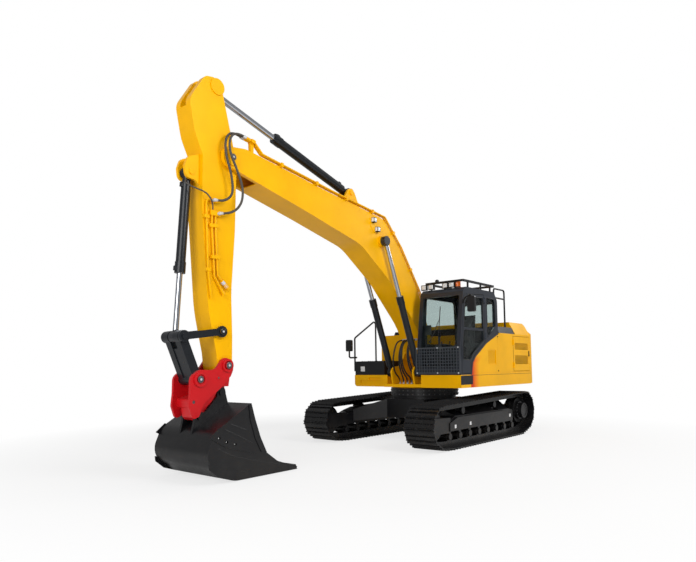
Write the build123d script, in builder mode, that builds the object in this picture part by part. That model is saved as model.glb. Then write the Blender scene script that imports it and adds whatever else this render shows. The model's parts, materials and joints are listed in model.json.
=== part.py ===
"""Crawler excavator of the 21 tonne class, modelled as separate sub-parts.

Frame: X forward, Y to the machine's left, Z up, in millimetres, with the tracks' soles at Z = 0.
All sizes below are written from the swing axis, which is X = 0 and Y = 0 while the model is
built. At the end every sub-part moves along X by one amount, so that the origin is the middle
of the whole machine on the ground.
"""

from build123d import *
from math import acos, atan2, cos, hypot, pi, radians, sin, tan
import os

# Undercarriage
GAUGE = 2380.0
SHOE_WIDTH = 600.0
TRACK_LENGTH = 4170.0
LINK_PITCH = 190.0
LUG_HEIGHT = 26.0
SHOE_PLATE = 12.0
SHOE_LAP = 6.0
RAIL_ABOVE = 45.0
RAIL_BELOW = 50.0
RAIL_INNER = 60.0
RAIL_WIDTH = 42.0
IDLER_PITCH_R = 302.0
SPROCKET_PITCH_R = 332.0
IDLER_LIFT = 25.0
SPROCKET_LIFT = 70.0
SPROCKET_TEETH = 11
ROLLER_COUNT = 8
ROLLER_R = 75.0
ROLLER_FRONT_X = 1290.0
ROLLER_REAR_X = -1240.0
ROLLER_HALF_WIDTH = 118.0
CARRIER_R = 62.0
CARRIER_X = (720.0, -560.0)
SEAT_GAP = 0.3
FRAME_LOW = 300.0
FRAME_TOP = 555.0
FRAME_CREST = 640.0
FRAME_FRONT_X = 1350.0
FRAME_REAR_X = -1300.0
FRAME_HALF_WIDTH = 140.0
BEARING_LOW = 860.0
BEARING_R = 690.0
BEARING_HEIGHT = 155.0
BEARING_HOLE_R = 470.0
RACE_GAP = 0.3

# Upper structure
DECK_LOW = 1040.0
DECK_TOP = 1280.0
DECK_PLATE = 60.0
SKIRT_WALL = 50.0
UPPER_HALF = 1345.0
CAB_FRONT_X = 860.0
CAB_REAR_X = -700.0
CAB_INNER_Y = 410.0
CAB_FLOOR = DECK_TOP
CAB_ROOF = 2930.0
CAB_WALL = 45.0
BOX_FRONT_X = 640.0
STEP_BOX_TOP = 1570.0
TANK_FRONT_X = -335.0
HOUSING_FRONT_X = -770.0
HOUSING_SIDE_TOP = 2110.0
HOUSING_TOP = 2380.0
AIR_BOX_TOP = 2250.0
HOUSING_TOP_HALF = UPPER_HALF - 145.0
PANEL = 40.0
PANEL_GAP = 8.0
TAIL_RADIUS = 2850.0
TAIL_SIDE_X = 400.0 - TAIL_RADIUS
HOUSING_REAR_X = 560.0 - TAIL_RADIUS
HOUSING_LENGTH = HOUSING_FRONT_X - HOUSING_REAR_X
TAIL_TOP = 2270.0
CENTRE_HALF = 480.0

# Working equipment pins, as X and Z
BOOM_FOOT = (130.0, 1750.0)
BOOM_CYL_BASE = (700.0, 1330.0)
BOOM_CYL_ROD = (1720.0, 3770.0)
ARM_PIN = (5190.0, 4410.0)
ARM_CYL_BASE = (2420.0, 4570.0)
ARM_CYL_ROD = (5400.0, 5380.0)
BUCKET_CYL_BASE = (5770.0, 4090.0)
ROCKER_PIN = (5330.0, 1950.0)
ROD_PIN = (5930.0, 1870.0)
ARM_TIP = (5250.0, 1490.0)
LINK_PIN = (5690.0, 1310.0)
BUCKET_FRONT_PIN = (5300.0, 1120.0)
BUCKET_REAR_PIN = (5650.0, 820.0)

# Working equipment sections
BOOM_HALF = 235.0
BOOM_EAR_IN = 172.0
ARM_HALF = 165.0
SIDE_PLATE_T = 14.0
EDGE_PLATE_T = 16.0
EYE_HALF = 55.0
EYE_GAP = 6.0
BOOM_CYL_Y = 325.0
BOOM_EYE_HALF = 45.0
BRACKET_IN = 242.0
BRACKET_PLATE = 32.0
PIN_R = 45.0
PIN_FIT = 0.05
HINGE_R = 12.0
HINGE_PIN_R = 7.0
HINGE_LUG = 20.0
HINGE_OUT = HINGE_R + 0.5
ROD_FIT = 0.06
CHEEK_IN = 173.0
CHEEK_OUT = 213.0
BUCKET_HALF = 600.0
BUCKET_PLATE = 25.0
BUCKET_LIFT = 8.0
BUCKET_PIN_R = 40.0
JAW_HALF = 100.0


def fitted_radii(points):
    """Corner radii of a closed outline, none larger than its two edges leave room for."""
    radii = []
    for i, here in enumerate(points):
        before, after = points[i - 1], points[(i + 1) % len(points)]
        back = hypot(here[0] - before[0], here[1] - before[1])
        ahead = hypot(after[0] - here[0], after[1] - here[1])
        ux, uz = unit(before[:2], here[:2])
        vx, vz = unit(here[:2], after[:2])
        half_turn = acos(max(-1.0, min(1.0, ux * vx + uz * vz))) / 2
        room = 0.48 * min(back, ahead) / tan(half_turn)
        asked = here[2] if len(here) > 2 else 1.0
        radii.append(min(asked, room))
    return radii


def side_face(points, y_high):
    """Face of a side view outline, given as (X, Z) or (X, Z, corner radius), at one Y."""
    corners = [(p[0], p[1]) for p in points]
    rounded = any(len(p) > 2 for p in points)
    plane = Plane((0, y_high, 0), x_dir=(1, 0, 0), z_dir=(0, -1, 0))
    with BuildSketch(plane) as view:
        with BuildLine():
            if rounded:
                FilletPolyline(*corners, radius=fitted_radii(points), close=True)
            else:
                Polyline(*corners, close=True)
        make_face()
    return view.sketch


def side_slab(points, y_low, y_high, mode=Mode.ADD):
    """Side view outline extruded between two Y stations, given in either order."""
    extrude(side_face(points, max(y_low, y_high)), amount=abs(y_high - y_low), mode=mode)


def inset_face(points, y, amount):
    """Side view outline drawn inwards by an amount, at one Y."""
    corners = [(p[0], p[1]) for p in points]
    with BuildSketch(Plane((0, y, 0), x_dir=(1, 0, 0), z_dir=(0, -1, 0))) as view:
        with BuildLine():
            FilletPolyline(*corners, radius=fitted_radii(points), close=True)
        make_face()
        offset(amount=-amount, kind=Kind.INTERSECTION)
    return view.sketch


def section_void(points, wall, half, x_low, x_high, z_low, z_high):
    """Cavity of a box section, kept between stations along X and Z."""
    with BuildPart() as void:
        extrude(inset_face(points, half, wall), amount=2 * half)
        centre = ((x_low + x_high) / 2, 0, (z_low + z_high) / 2)
        with Locations(centre):
            Box(x_high - x_low, 2 * half, z_high - z_low, mode=Mode.INTERSECT)
    return void.part


def side_pair(points, y_low, y_high, mode=Mode.ADD):
    """The same slab on the left and on the right of the middle plane."""
    side_slab(points, y_low, y_high, mode)
    side_slab(points, -y_high, -y_low, mode)


def cross_pin(pin, radius, y_low, y_high, mode=Mode.ADD):
    """Round bar along Y at a pin given as (X, Z), between stations in either order."""
    with Locations((pin[0], (y_low + y_high) / 2, pin[1])):
        Cylinder(radius, abs(y_high - y_low), rotation=(90, 0, 0), mode=mode)


def cross_pin_pair(pin, radius, y_low, y_high, mode=Mode.ADD):
    """The same round bar on the left and on the right of the middle plane."""
    cross_pin(pin, radius, y_low, y_high, mode)
    cross_pin(pin, radius, -y_high, -y_low, mode)


def block(x_low, x_high, y_low, y_high, z_low, z_high, mode=Mode.ADD):
    """Upright block between two corners, given in either order."""
    centre = ((x_low + x_high) / 2, (y_low + y_high) / 2, (z_low + z_high) / 2)
    with Locations(centre):
        Box(abs(x_high - x_low), abs(y_high - y_low), abs(z_high - z_low), mode=mode)


def unit(start, end):
    """Direction from one (X, Z) point to another."""
    length = hypot(end[0] - start[0], end[1] - start[1])
    return ((end[0] - start[0]) / length, (end[1] - start[1]) / length)


def along(start, end, distance):
    """Point at a distance from start towards end."""
    ux, uz = unit(start, end)
    return (start[0] + ux * distance, start[1] + uz * distance)


def slanted_bar(start, end, y, radius, mode=Mode.ADD):
    """Round bar between two (X, Z) points at one Y."""
    ux, uz = unit(start, end)
    plane = Plane((start[0], y, start[1]), x_dir=(0, 1, 0), z_dir=(ux, 0, uz))
    with BuildSketch(plane) as ring:
        Circle(radius)
    extrude(ring.sketch, amount=hypot(end[0] - start[0], end[1] - start[1]), mode=mode)


def turned(start, end, y, profile, mode=Mode.ADD):
    """Solid of revolution about the line from start to end; profile gives (distance, radius)."""
    ux, uz = unit(start, end)
    plane = Plane((start[0], y, start[1]), x_dir=(ux, 0, uz), z_dir=(0, 1, 0))
    with BuildSketch(plane) as half_section:
        with BuildLine():
            Polyline(*profile, close=True)
        make_face()
    revolve(half_section.sketch, axis=Axis((start[0], y, start[1]), (ux, 0, uz)), mode=mode)


def bar_outline(start, end, start_r, end_r, neck):
    """Outline of a flat link: two round ends joined by a bar of half width neck."""
    ux, uz = unit(start, end)
    nx, nz = -uz, ux
    a = along(start, end, start_r * 0.5)
    b = along(end, start, end_r * 0.5)
    return [
        (a[0] + nx * neck, a[1] + nz * neck),
        (a[0] - nx * neck, a[1] - nz * neck),
        (b[0] - nx * neck, b[1] - nz * neck),
        (b[0] + nx * neck, b[1] + nz * neck),
    ]


def hinge_pin(axis, low, high, lug_to):
    """Upright hinge pin held by a lug at each end; lug_to is the far corner of its foot in plan."""
    x, y = axis
    for end, away in ((low, -HINGE_LUG), (high, HINGE_LUG)):
        block(x, lug_to[0], y, lug_to[1], end, end + away)
        with Locations((x, y, end + away / 2)):
            Cylinder(HINGE_R, HINGE_LUG)
    with Locations((x, y, (low + high) / 2)):
        Cylinder(HINGE_PIN_R, high - low)


def hinge_knuckle(axis, low, high, leaf_to):
    """Knuckle of an upright hinge, with the leaf that lies on its door."""
    x, y = axis
    middle = (low + high) / 2
    tall = high - low - 2 * SEAT_GAP
    with Locations((x, y, middle)):
        Cylinder(HINGE_R, tall)
    block(x, leaf_to[0], y, leaf_to[1], middle - tall / 2, middle + tall / 2)
    with Locations((x, y, middle)):
        Cylinder(HINGE_PIN_R + PIN_FIT, tall, mode=Mode.SUBTRACT)


def section_face(points, x):
    """Face of a cross-section given as (Y, Z), at one X, that faces forwards."""
    with BuildSketch(Plane((x, 0, 0), x_dir=(0, 1, 0), z_dir=(1, 0, 0))) as section:
        with BuildLine():
            Polyline(*points, close=True)
        make_face()
    return section.sketch


pieces = {}


def keep(builder, name):
    """Labels a finished sub-part and keeps it for export."""
    builder.part.label = name
    pieces[name] = builder.part


# Track path: pin line round the idler, the end rollers and the sprocket
PIN_LINE = LUG_HEIGHT + SHOE_PLATE + RAIL_ABOVE
LUG_REACH = RAIL_ABOVE + SHOE_PLATE + LUG_HEIGHT
IDLER_X = TRACK_LENGTH / 2 - IDLER_PITCH_R - LUG_REACH
SPROCKET_X = -TRACK_LENGTH / 2 + SPROCKET_PITCH_R + LUG_REACH
IDLER_Z = IDLER_PITCH_R + LUG_REACH + IDLER_LIFT
SPROCKET_Z = SPROCKET_PITCH_R + LUG_REACH + SPROCKET_LIFT
ROLLER_Z = PIN_LINE + RAIL_BELOW + ROLLER_R + SEAT_GAP
GUIDE_R = ROLLER_Z - PIN_LINE

guides = [
    (ROLLER_REAR_X - LINK_PITCH, ROLLER_Z, GUIDE_R),
    (ROLLER_FRONT_X + LINK_PITCH, ROLLER_Z, GUIDE_R),
    (IDLER_X, IDLER_Z, IDLER_PITCH_R),
    (SPROCKET_X, SPROCKET_Z, SPROCKET_PITCH_R),
]


def tangent_angle(first, second):
    """Angle of the outward normal of the tangent that leaves first for second."""
    dx, dz = second[0] - first[0], second[1] - first[1]
    return atan2(dz, dx) - acos((first[2] - second[2]) / hypot(dx, dz))


def track_runs():
    """Straight runs and arcs of the pin line, as (kind, data, length)."""
    runs = []
    count = len(guides)
    normals = [tangent_angle(guides[i], guides[(i + 1) % count]) for i in range(count)]
    for i in range(count):
        here, after = guides[i], guides[(i + 1) % count]
        leave = normals[i]
        arrive = normals[i - 1]
        turn = (leave - arrive) % (2 * pi)
        runs.append(("arc", (here, arrive), turn * here[2]))
        nx, nz = cos(leave), sin(leave)
        start = (here[0] + nx * here[2], here[1] + nz * here[2])
        end = (after[0] + nx * after[2], after[1] + nz * after[2])
        runs.append(("line", (start, end), hypot(end[0] - start[0], end[1] - start[1])))
    return runs


RUNS = track_runs()
LOOP = sum(run[2] for run in RUNS)
LINK_COUNT = round(LOOP / LINK_PITCH)


def track_point(distance):
    """Point on the pin line at a distance along the loop."""
    rest = distance % LOOP
    for kind, data, length in RUNS:
        if rest > length:
            rest -= length
            continue
        if kind == "line":
            return along(data[0], data[1], rest)
        guide, arrive = data
        angle = arrive + rest / guide[2]
        return (guide[0] + guide[2] * cos(angle), guide[1] + guide[2] * sin(angle))
    return track_point(0.0)


track_pins = [track_point(i * LOOP / LINK_COUNT) for i in range(LINK_COUNT)]

# One shoe's outer profile: share of the pitch, height above the shoe plate's outer face
SHOE_PROFILE = (
    (-0.455, LUG_HEIGHT),
    (-0.385, 0.0),
    (-0.045, 0.0),
    (0.0, LUG_HEIGHT),
    (0.045, 0.0),
    (0.385, 0.0),
    (0.455, LUG_HEIGHT),
)


def shoe_outline():
    """Outer outline of the whole loop: the lapped seam at each pin, then one shoe."""
    points = []
    seams = loop_offset(RAIL_ABOVE + SHOE_LAP)
    for i, start in enumerate(track_pins):
        end = track_pins[(i + 1) % LINK_COUNT]
        ux, uz = unit(start, end)
        length = hypot(end[0] - start[0], end[1] - start[1])
        mid = ((start[0] + end[0]) / 2, (start[1] + end[1]) / 2)
        points.append(seams[i])
        for share, height in SHOE_PROFILE:
            out = RAIL_ABOVE + SHOE_PLATE + height
            points.append((mid[0] + ux * share * length + uz * out, mid[1] + uz * share * length - ux * out))
    return points


def loop_offset(out):
    """Pin polygon moved outwards, corner by corner."""
    points = []
    for i, pin in enumerate(track_pins):
        ux, uz = unit(track_pins[i - 1], track_pins[(i + 1) % LINK_COUNT])
        points.append((pin[0] + uz * out, pin[1] - ux * out))
    return points


def build_track(side, name):
    """One crawler belt: shoes with three lugs each, and the two rails of the chain."""
    middle = side * GAUGE / 2
    with BuildPart() as belt:
        side_slab(shoe_outline(), middle - SHOE_WIDTH / 2, middle + SHOE_WIDTH / 2)
        inner = loop_offset(RAIL_ABOVE)
        side_slab(inner, middle - SHOE_WIDTH / 2, middle + SHOE_WIDTH / 2, Mode.SUBTRACT)
        for rail in (-1, 1):
            low = middle + min(rail * RAIL_INNER, rail * (RAIL_INNER + RAIL_WIDTH))
            rim = side_face(loop_offset(RAIL_ABOVE), low + RAIL_WIDTH)
            hole = side_face(loop_offset(-RAIL_BELOW), low + RAIL_WIDTH)
            extrude(rim - hole, amount=RAIL_WIDTH)
    keep(belt, name)


for side, name in ((1, "track_left"), (-1, "track_right")):
    build_track(side, name)

# Chord effect: on a guide wheel the rails' inner faces come nearer to its centre
IDLER_TREAD = (IDLER_PITCH_R**2 - (LINK_PITCH / 2) ** 2) ** 0.5 - RAIL_BELOW - 6.0
SPROCKET_TREAD = (SPROCKET_PITCH_R**2 - (LINK_PITCH / 2) ** 2) ** 0.5 - RAIL_BELOW - 6.0
WHEEL_GAP = 8.0

with BuildPart() as idlers:
    for side in (-1, 1):
        middle = side * GAUGE / 2
        cross_pin((IDLER_X, IDLER_Z), IDLER_TREAD, middle - 100, middle + 100)
        rib = RAIL_INNER - WHEEL_GAP
        cross_pin((IDLER_X, IDLER_Z), IDLER_TREAD + 45, middle - rib, middle + rib)
        cross_pin((IDLER_X, IDLER_Z), 70.0, middle - FRAME_HALF_WIDTH, middle + FRAME_HALF_WIDTH)
keep(idlers, "idlers")

TOOTH_TIP = SPROCKET_PITCH_R + 6.0
TOOTH_ROOT = SPROCKET_PITCH_R - 45.0
HUB_REACH = 90.0


def tooth_ring():
    """Outline of the sprocket's teeth."""
    points = []
    flanks = ((-0.36, TOOTH_ROOT), (-0.12, TOOTH_TIP), (0.12, TOOTH_TIP), (0.36, TOOTH_ROOT))
    for i in range(SPROCKET_TEETH):
        for share, radius in flanks:
            angle = (i + share) * 2 * pi / SPROCKET_TEETH
            points.append((SPROCKET_X + radius * cos(angle), SPROCKET_Z + radius * sin(angle)))
    return points


with BuildPart() as sprockets:
    for side in (-1, 1):
        middle = side * GAUGE / 2
        side_slab(tooth_ring(), middle - 30, middle + 30)
        cross_pin((SPROCKET_X, SPROCKET_Z), SPROCKET_TREAD, middle - 100, middle + 100)
        cross_pin((SPROCKET_X, SPROCKET_Z), 190.0, middle - 150, middle + 150)
        outer = middle + side * 150
        cross_pin((SPROCKET_X, SPROCKET_Z), 158.0, outer, outer + side * HUB_REACH)
        face = outer + side * HUB_REACH
        cross_pin((SPROCKET_X, SPROCKET_Z), 128.0, face - side * 12, face, Mode.SUBTRACT)
keep(sprockets, "sprockets")


def build_rollers(side, name):
    """Bottom rollers with their shaft blocks, and the two carrier rollers on their posts."""
    middle = side * GAUGE / 2
    step = (ROLLER_FRONT_X - ROLLER_REAR_X) / (ROLLER_COUNT - 1)
    with BuildPart() as rollers:
        for i in range(ROLLER_COUNT):
            x = ROLLER_REAR_X + i * step
            cross_pin((x, ROLLER_Z), ROLLER_R, middle - ROLLER_HALF_WIDTH, middle + ROLLER_HALF_WIDTH)
            for end in (-1, 1):
                y = middle + end * ROLLER_HALF_WIDTH
                block(x - 38, x + 38, y, y + end * 22, ROLLER_Z, FRAME_LOW)
                cross_pin((x, ROLLER_Z), 56.0, y, y + end * 40)
        for x in CARRIER_X:
            z = carrier_height(x)
            cross_pin((x, z), CARRIER_R, middle - 105, middle + 105)
            block(x - 40, x + 40, middle - 50, middle + 50, FRAME_TOP, z)
    keep(rollers, name)


def carrier_height(x):
    """Height of a carrier roller that just bears the chain's upper run."""
    start, end = track_upper_run()
    share = (x - start[0]) / (end[0] - start[0])
    run_z = start[1] + share * (end[1] - start[1])
    slope = atan2(end[1] - start[1], end[0] - start[0])
    return run_z - (RAIL_BELOW + CARRIER_R + SEAT_GAP) / abs(cos(slope))


def track_upper_run():
    """Ends of the pin line's straight run over the carrier rollers."""
    lines = [run[1] for run in RUNS if run[0] == "line"]
    return lines[2]


for side, name in ((1, "rollers_left"), (-1, "rollers_right")):
    build_rollers(side, name)


def build_track_frame(side, name):
    """Side beam of the undercarriage with the idler's fork and the final drive's plate."""
    middle = side * GAUGE / 2
    half = FRAME_HALF_WIDTH
    beam = [
        (FRAME_REAR_X, FRAME_LOW),
        (FRAME_FRONT_X, FRAME_LOW),
        (FRAME_FRONT_X, FRAME_TOP - 90),
        (FRAME_FRONT_X - 260, FRAME_TOP),
        (FRAME_REAR_X + 200, FRAME_TOP),
        (FRAME_REAR_X, FRAME_TOP - 40),
    ]
    cover = [
        (FRAME_REAR_X + 130, FRAME_LOW + 20),
        (FRAME_FRONT_X - 20, FRAME_LOW + 5),
        (FRAME_FRONT_X - 20, FRAME_TOP - 110),
        (FRAME_FRONT_X - 290, FRAME_TOP - 20),
        (FRAME_REAR_X + 420, FRAME_TOP - 20),
        (FRAME_REAR_X + 290, FRAME_TOP - 95),
        (FRAME_REAR_X + 130, FRAME_TOP - 95),
    ]
    with BuildPart() as frame:
        side_slab(beam, middle - half, middle + half)
        crest_ends = ((FRAME_FRONT_X - 265, FRAME_CREST), (FRAME_REAR_X + 205, FRAME_CREST + 90))
        faces = []
        for x, crest in crest_ends:
            ridge = [
                (middle + side * half, FRAME_TOP - 1),
                (middle + side * (half - 15), FRAME_TOP + 10),
                (middle - side * (half - 60), crest),
                (middle - side * half, crest),
                (middle - side * half, FRAME_TOP - 1),
            ]
            faces.append(section_face(ridge, x))
        loft(faces)
        for x in CARRIER_X:
            low_y, high_y = middle - side * (half - 26), middle + side * (half + 1)
            block(x - 85, x + 85, low_y, high_y, FRAME_TOP, FRAME_CREST + 200, Mode.SUBTRACT)
        side_slab(cover, middle + side * half, middle + side * (half + 42))
        for end in (-1, 1):
            low = middle + end * half
            fork = [
                (FRAME_FRONT_X - 60, IDLER_Z - 130),
                (IDLER_X + 150, IDLER_Z - 130),
                (IDLER_X + 190, IDLER_Z - 60),
                (IDLER_X + 190, IDLER_Z + 80),
                (IDLER_X + 120, IDLER_Z + 150),
                (FRAME_FRONT_X - 60, IDLER_Z + 130),
            ]
            side_slab(fork, low, low + end * 24)
        inner = middle - side * 240
        drive = [
            (FRAME_REAR_X + 120, FRAME_LOW + 20),
            (FRAME_REAR_X + 120, FRAME_TOP - 20),
            (SPROCKET_X - 120, SPROCKET_Z + 130),
            (SPROCKET_X - 120, SPROCKET_Z - 130),
        ]
        side_slab(drive, inner, inner + side * 90)
        block(FRAME_REAR_X + 20, FRAME_REAR_X + 120, inner, middle, FRAME_LOW + 20, FRAME_TOP - 60)
    keep(frame, name)


for side, name in ((1, "track_frame_left"), (-1, "track_frame_right")):
    build_track_frame(side, name)

LEG_ROOT_Y = 440.0
LEG_END_Y = GAUGE / 2 - FRAME_HALF_WIDTH

with BuildPart() as car_body:
    block(-720, 720, -LEG_ROOT_Y, LEG_ROOT_Y, 430, 800)
    cross_half = 640.0
    with Locations((0, 0, (800 + BEARING_LOW) / 2)):
        Cylinder(cross_half, BEARING_LOW - 800)
    for side in (-1, 1):
        for end in (-1, 1):
            root_plane = Plane((0, side * LEG_ROOT_Y, 0), x_dir=(1, 0, 0), z_dir=(0, -1, 0))
            end_plane = Plane((0, side * LEG_END_Y, 0), x_dir=(1, 0, 0), z_dir=(0, -1, 0))
            with BuildSketch(root_plane) as leg_root:
                with Locations((end * 465, 615)):
                    Rectangle(510, 370)
            with BuildSketch(end_plane) as leg_end:
                with Locations((end * 830, 470)):
                    Rectangle(460, 240)
            loft([leg_root.sketch, leg_end.sketch])
keep(car_body, "car_body")

with BuildPart() as swing_bearing:
    with Locations((0, 0, BEARING_LOW + BEARING_HEIGHT / 2)):
        Cylinder(BEARING_R, BEARING_HEIGHT)
    with Locations((0, 0, BEARING_LOW + 62)):
        Cylinder(BEARING_R + 1, 12, mode=Mode.SUBTRACT)
        Cylinder(BEARING_R - 25, 12)
    with Locations((0, 0, BEARING_LOW + BEARING_HEIGHT / 2)):
        Cylinder(BEARING_HOLE_R, BEARING_HEIGHT, mode=Mode.SUBTRACT)
keep(swing_bearing, "swing_bearing")

# Upper structure
RACE_LOW = BEARING_LOW + BEARING_HEIGHT + RACE_GAP

with BuildPart() as main_frame:
    with Locations((0, 0, (RACE_LOW + DECK_LOW) / 2)):
        Cylinder(BEARING_R - 40, DECK_LOW - RACE_LOW)
        Cylinder(BEARING_HOLE_R, DECK_LOW - RACE_LOW, mode=Mode.SUBTRACT)
    block(HOUSING_REAR_X, 760, -CENTRE_HALF, CENTRE_HALF, DECK_LOW, DECK_LOW + DECK_PLATE)
    bracket = [
        (-740, DECK_LOW + DECK_PLATE, 10),
        (760, DECK_LOW + DECK_PLATE, 10),
        (BOOM_CYL_BASE[0] + 115, BOOM_CYL_BASE[1] + 20, 80),
        (BOOM_CYL_BASE[0] + 50, BOOM_CYL_BASE[1] + 110, 60),
        (BOOM_CYL_BASE[0] - 200, BOOM_CYL_BASE[1] + 130, 120),
        (BOOM_FOOT[0] + 150, BOOM_FOOT[1] + 60, 90),
        (BOOM_FOOT[0] + 40, BOOM_FOOT[1] + 150, 90),
        (BOOM_FOOT[0] - 150, BOOM_FOOT[1] + 110, 90),
        (-420, 1500, 100),
        (-740, 1400, 20),
    ]
    bracket_out = BRACKET_IN + BRACKET_PLATE
    side_pair(bracket, BRACKET_IN, bracket_out)
    cross_pin_pair(BOOM_CYL_BASE, PIN_R, bracket_out, BOOM_CYL_Y + BOOM_EYE_HALF + 12)
    cross_pin(BOOM_FOOT, PIN_R + 5, -BRACKET_IN, BRACKET_IN)
keep(main_frame, "main_frame")


def rim_deck(front_x, y_in, y_out):
    """Deck plate with a deep skirt round its edge, open from below."""
    block(HOUSING_REAR_X, front_x, y_in, y_out, DECK_LOW, DECK_TOP)
    wall = SKIRT_WALL if y_out > y_in else -SKIRT_WALL
    inside = (HOUSING_REAR_X + SKIRT_WALL, front_x - SKIRT_WALL, y_in + wall, y_out - wall)
    block(*inside, DECK_LOW, DECK_TOP - DECK_PLATE, Mode.SUBTRACT)


with BuildPart() as platform_left:
    rim_deck(CAB_FRONT_X, CENTRE_HALF, UPPER_HALF)
keep(platform_left, "platform_left")

with BuildPart() as platform_right:
    rim_deck(BOX_FRONT_X, -CENTRE_HALF, -UPPER_HALF)
    panel_y = (160 - UPPER_HALF, -CENTRE_HALF - 90)
    block(BOX_FRONT_X - 14, BOX_FRONT_X, *panel_y, DECK_LOW + 30, DECK_TOP - 110, Mode.SUBTRACT)
    slot_y = (380 - UPPER_HALF, -CENTRE_HALF - 160)
    block(BOX_FRONT_X - 25, BOX_FRONT_X, *slot_y, DECK_TOP - 100, DECK_TOP - 55, Mode.SUBTRACT)
    foot_edges = platform_right.edges().filter_by(Axis.X).group_by(Axis.Z)[0].group_by(Axis.Y)[0]
    chamfer(foot_edges, 45)
keep(platform_right, "platform_right")


# Right front step box, tanks and rear housing
with BuildPart() as front_box:
    steps = [
        (BOX_FRONT_X - 10, DECK_TOP),
        (BOX_FRONT_X - 10, STEP_BOX_TOP),
        (TANK_FRONT_X, STEP_BOX_TOP),
        (TANK_FRONT_X, DECK_TOP),
    ]
    side_slab(steps, -UPPER_HALF + 10, -CENTRE_HALF - 80)
keep(front_box, "front_box")

with BuildPart() as tank:
    block(HOUSING_FRONT_X, TANK_FRONT_X, -UPPER_HALF, -CENTRE_HALF, DECK_TOP, 2150)
    chamfer(tank.edges().filter_by(Axis.X).group_by(Axis.Z)[-1], 70)
keep(tank, "tank")

DOOR_FRONT_X = HOUSING_FRONT_X - 0.421 * HOUSING_LENGTH
DOOR_REAR_X = HOUSING_REAR_X + PANEL
DOOR_LOW = 1320.0
DOOR_HIGH = 2070.0
HOOD_FRONT_X = HOUSING_FRONT_X - 0.545 * HOUSING_LENGTH
HOOD_REAR_X = HOUSING_REAR_X + 140.0
HOOD_HALF = HOUSING_TOP_HALF - 300.0
DOOR_HINGE_Z = (1450.0, 1940.0)
HOOD_HINGE_Y = (300.0 - HOOD_HALF, HOOD_HALF - 300.0)
HOOD_AXIS = (HOOD_FRONT_X + 4, HOUSING_TOP + HINGE_OUT)
AIR_BOX_REAR_X = HOUSING_FRONT_X - 0.5 * HOUSING_LENGTH
TAIL_SLOPE = 60.0
# Air intake in the left panel
VENT_X = (-580.0, -250.0)
VENT_Z = (1465.0, 1760.0)
VENT_SLOTS = 7
SKIRT_SEAM_Z = 1310.0
SEAM = 5.0


def housing_section(inset):
    """Cross-section of the rear housing, in Y and Z, drawn inwards by an inset."""
    half = UPPER_HALF - inset
    top_half = HOUSING_TOP_HALF - inset * 0.6
    return [
        (-half, DECK_TOP),
        (half, DECK_TOP),
        (half, HOUSING_SIDE_TOP),
        (top_half, HOUSING_TOP - inset),
        (-top_half, HOUSING_TOP - inset),
        (-half, HOUSING_SIDE_TOP),
    ]


def hood_pin(y):
    """Pin of one hood hinge with a lug at each end, on the housing's top."""
    cross_pin(HOOD_AXIS, HINGE_PIN_R, y - 40, y + 40)
    for end in (y - 40 - HINGE_LUG, y + 40):
        cross_pin(HOOD_AXIS, HINGE_R, end, end + HINGE_LUG)
        block(HOOD_AXIS[0], HOOD_AXIS[0] + 30, end, end + HINGE_LUG, HOUSING_TOP, HOOD_AXIS[1])


# Yellow side panel beside the cab, cut by the cab's slanted rear pillar
PANEL_SEAM_X = -662.0
PANEL_EDGE = (
    (440, CAB_FLOOR),
    (384, 1509),
    (271, 1616),
    (-189, 1883),
    (-700, 2075),
    (HOUSING_FRONT_X, 2100),
    (HOUSING_FRONT_X, CAB_FLOOR),
)

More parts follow.
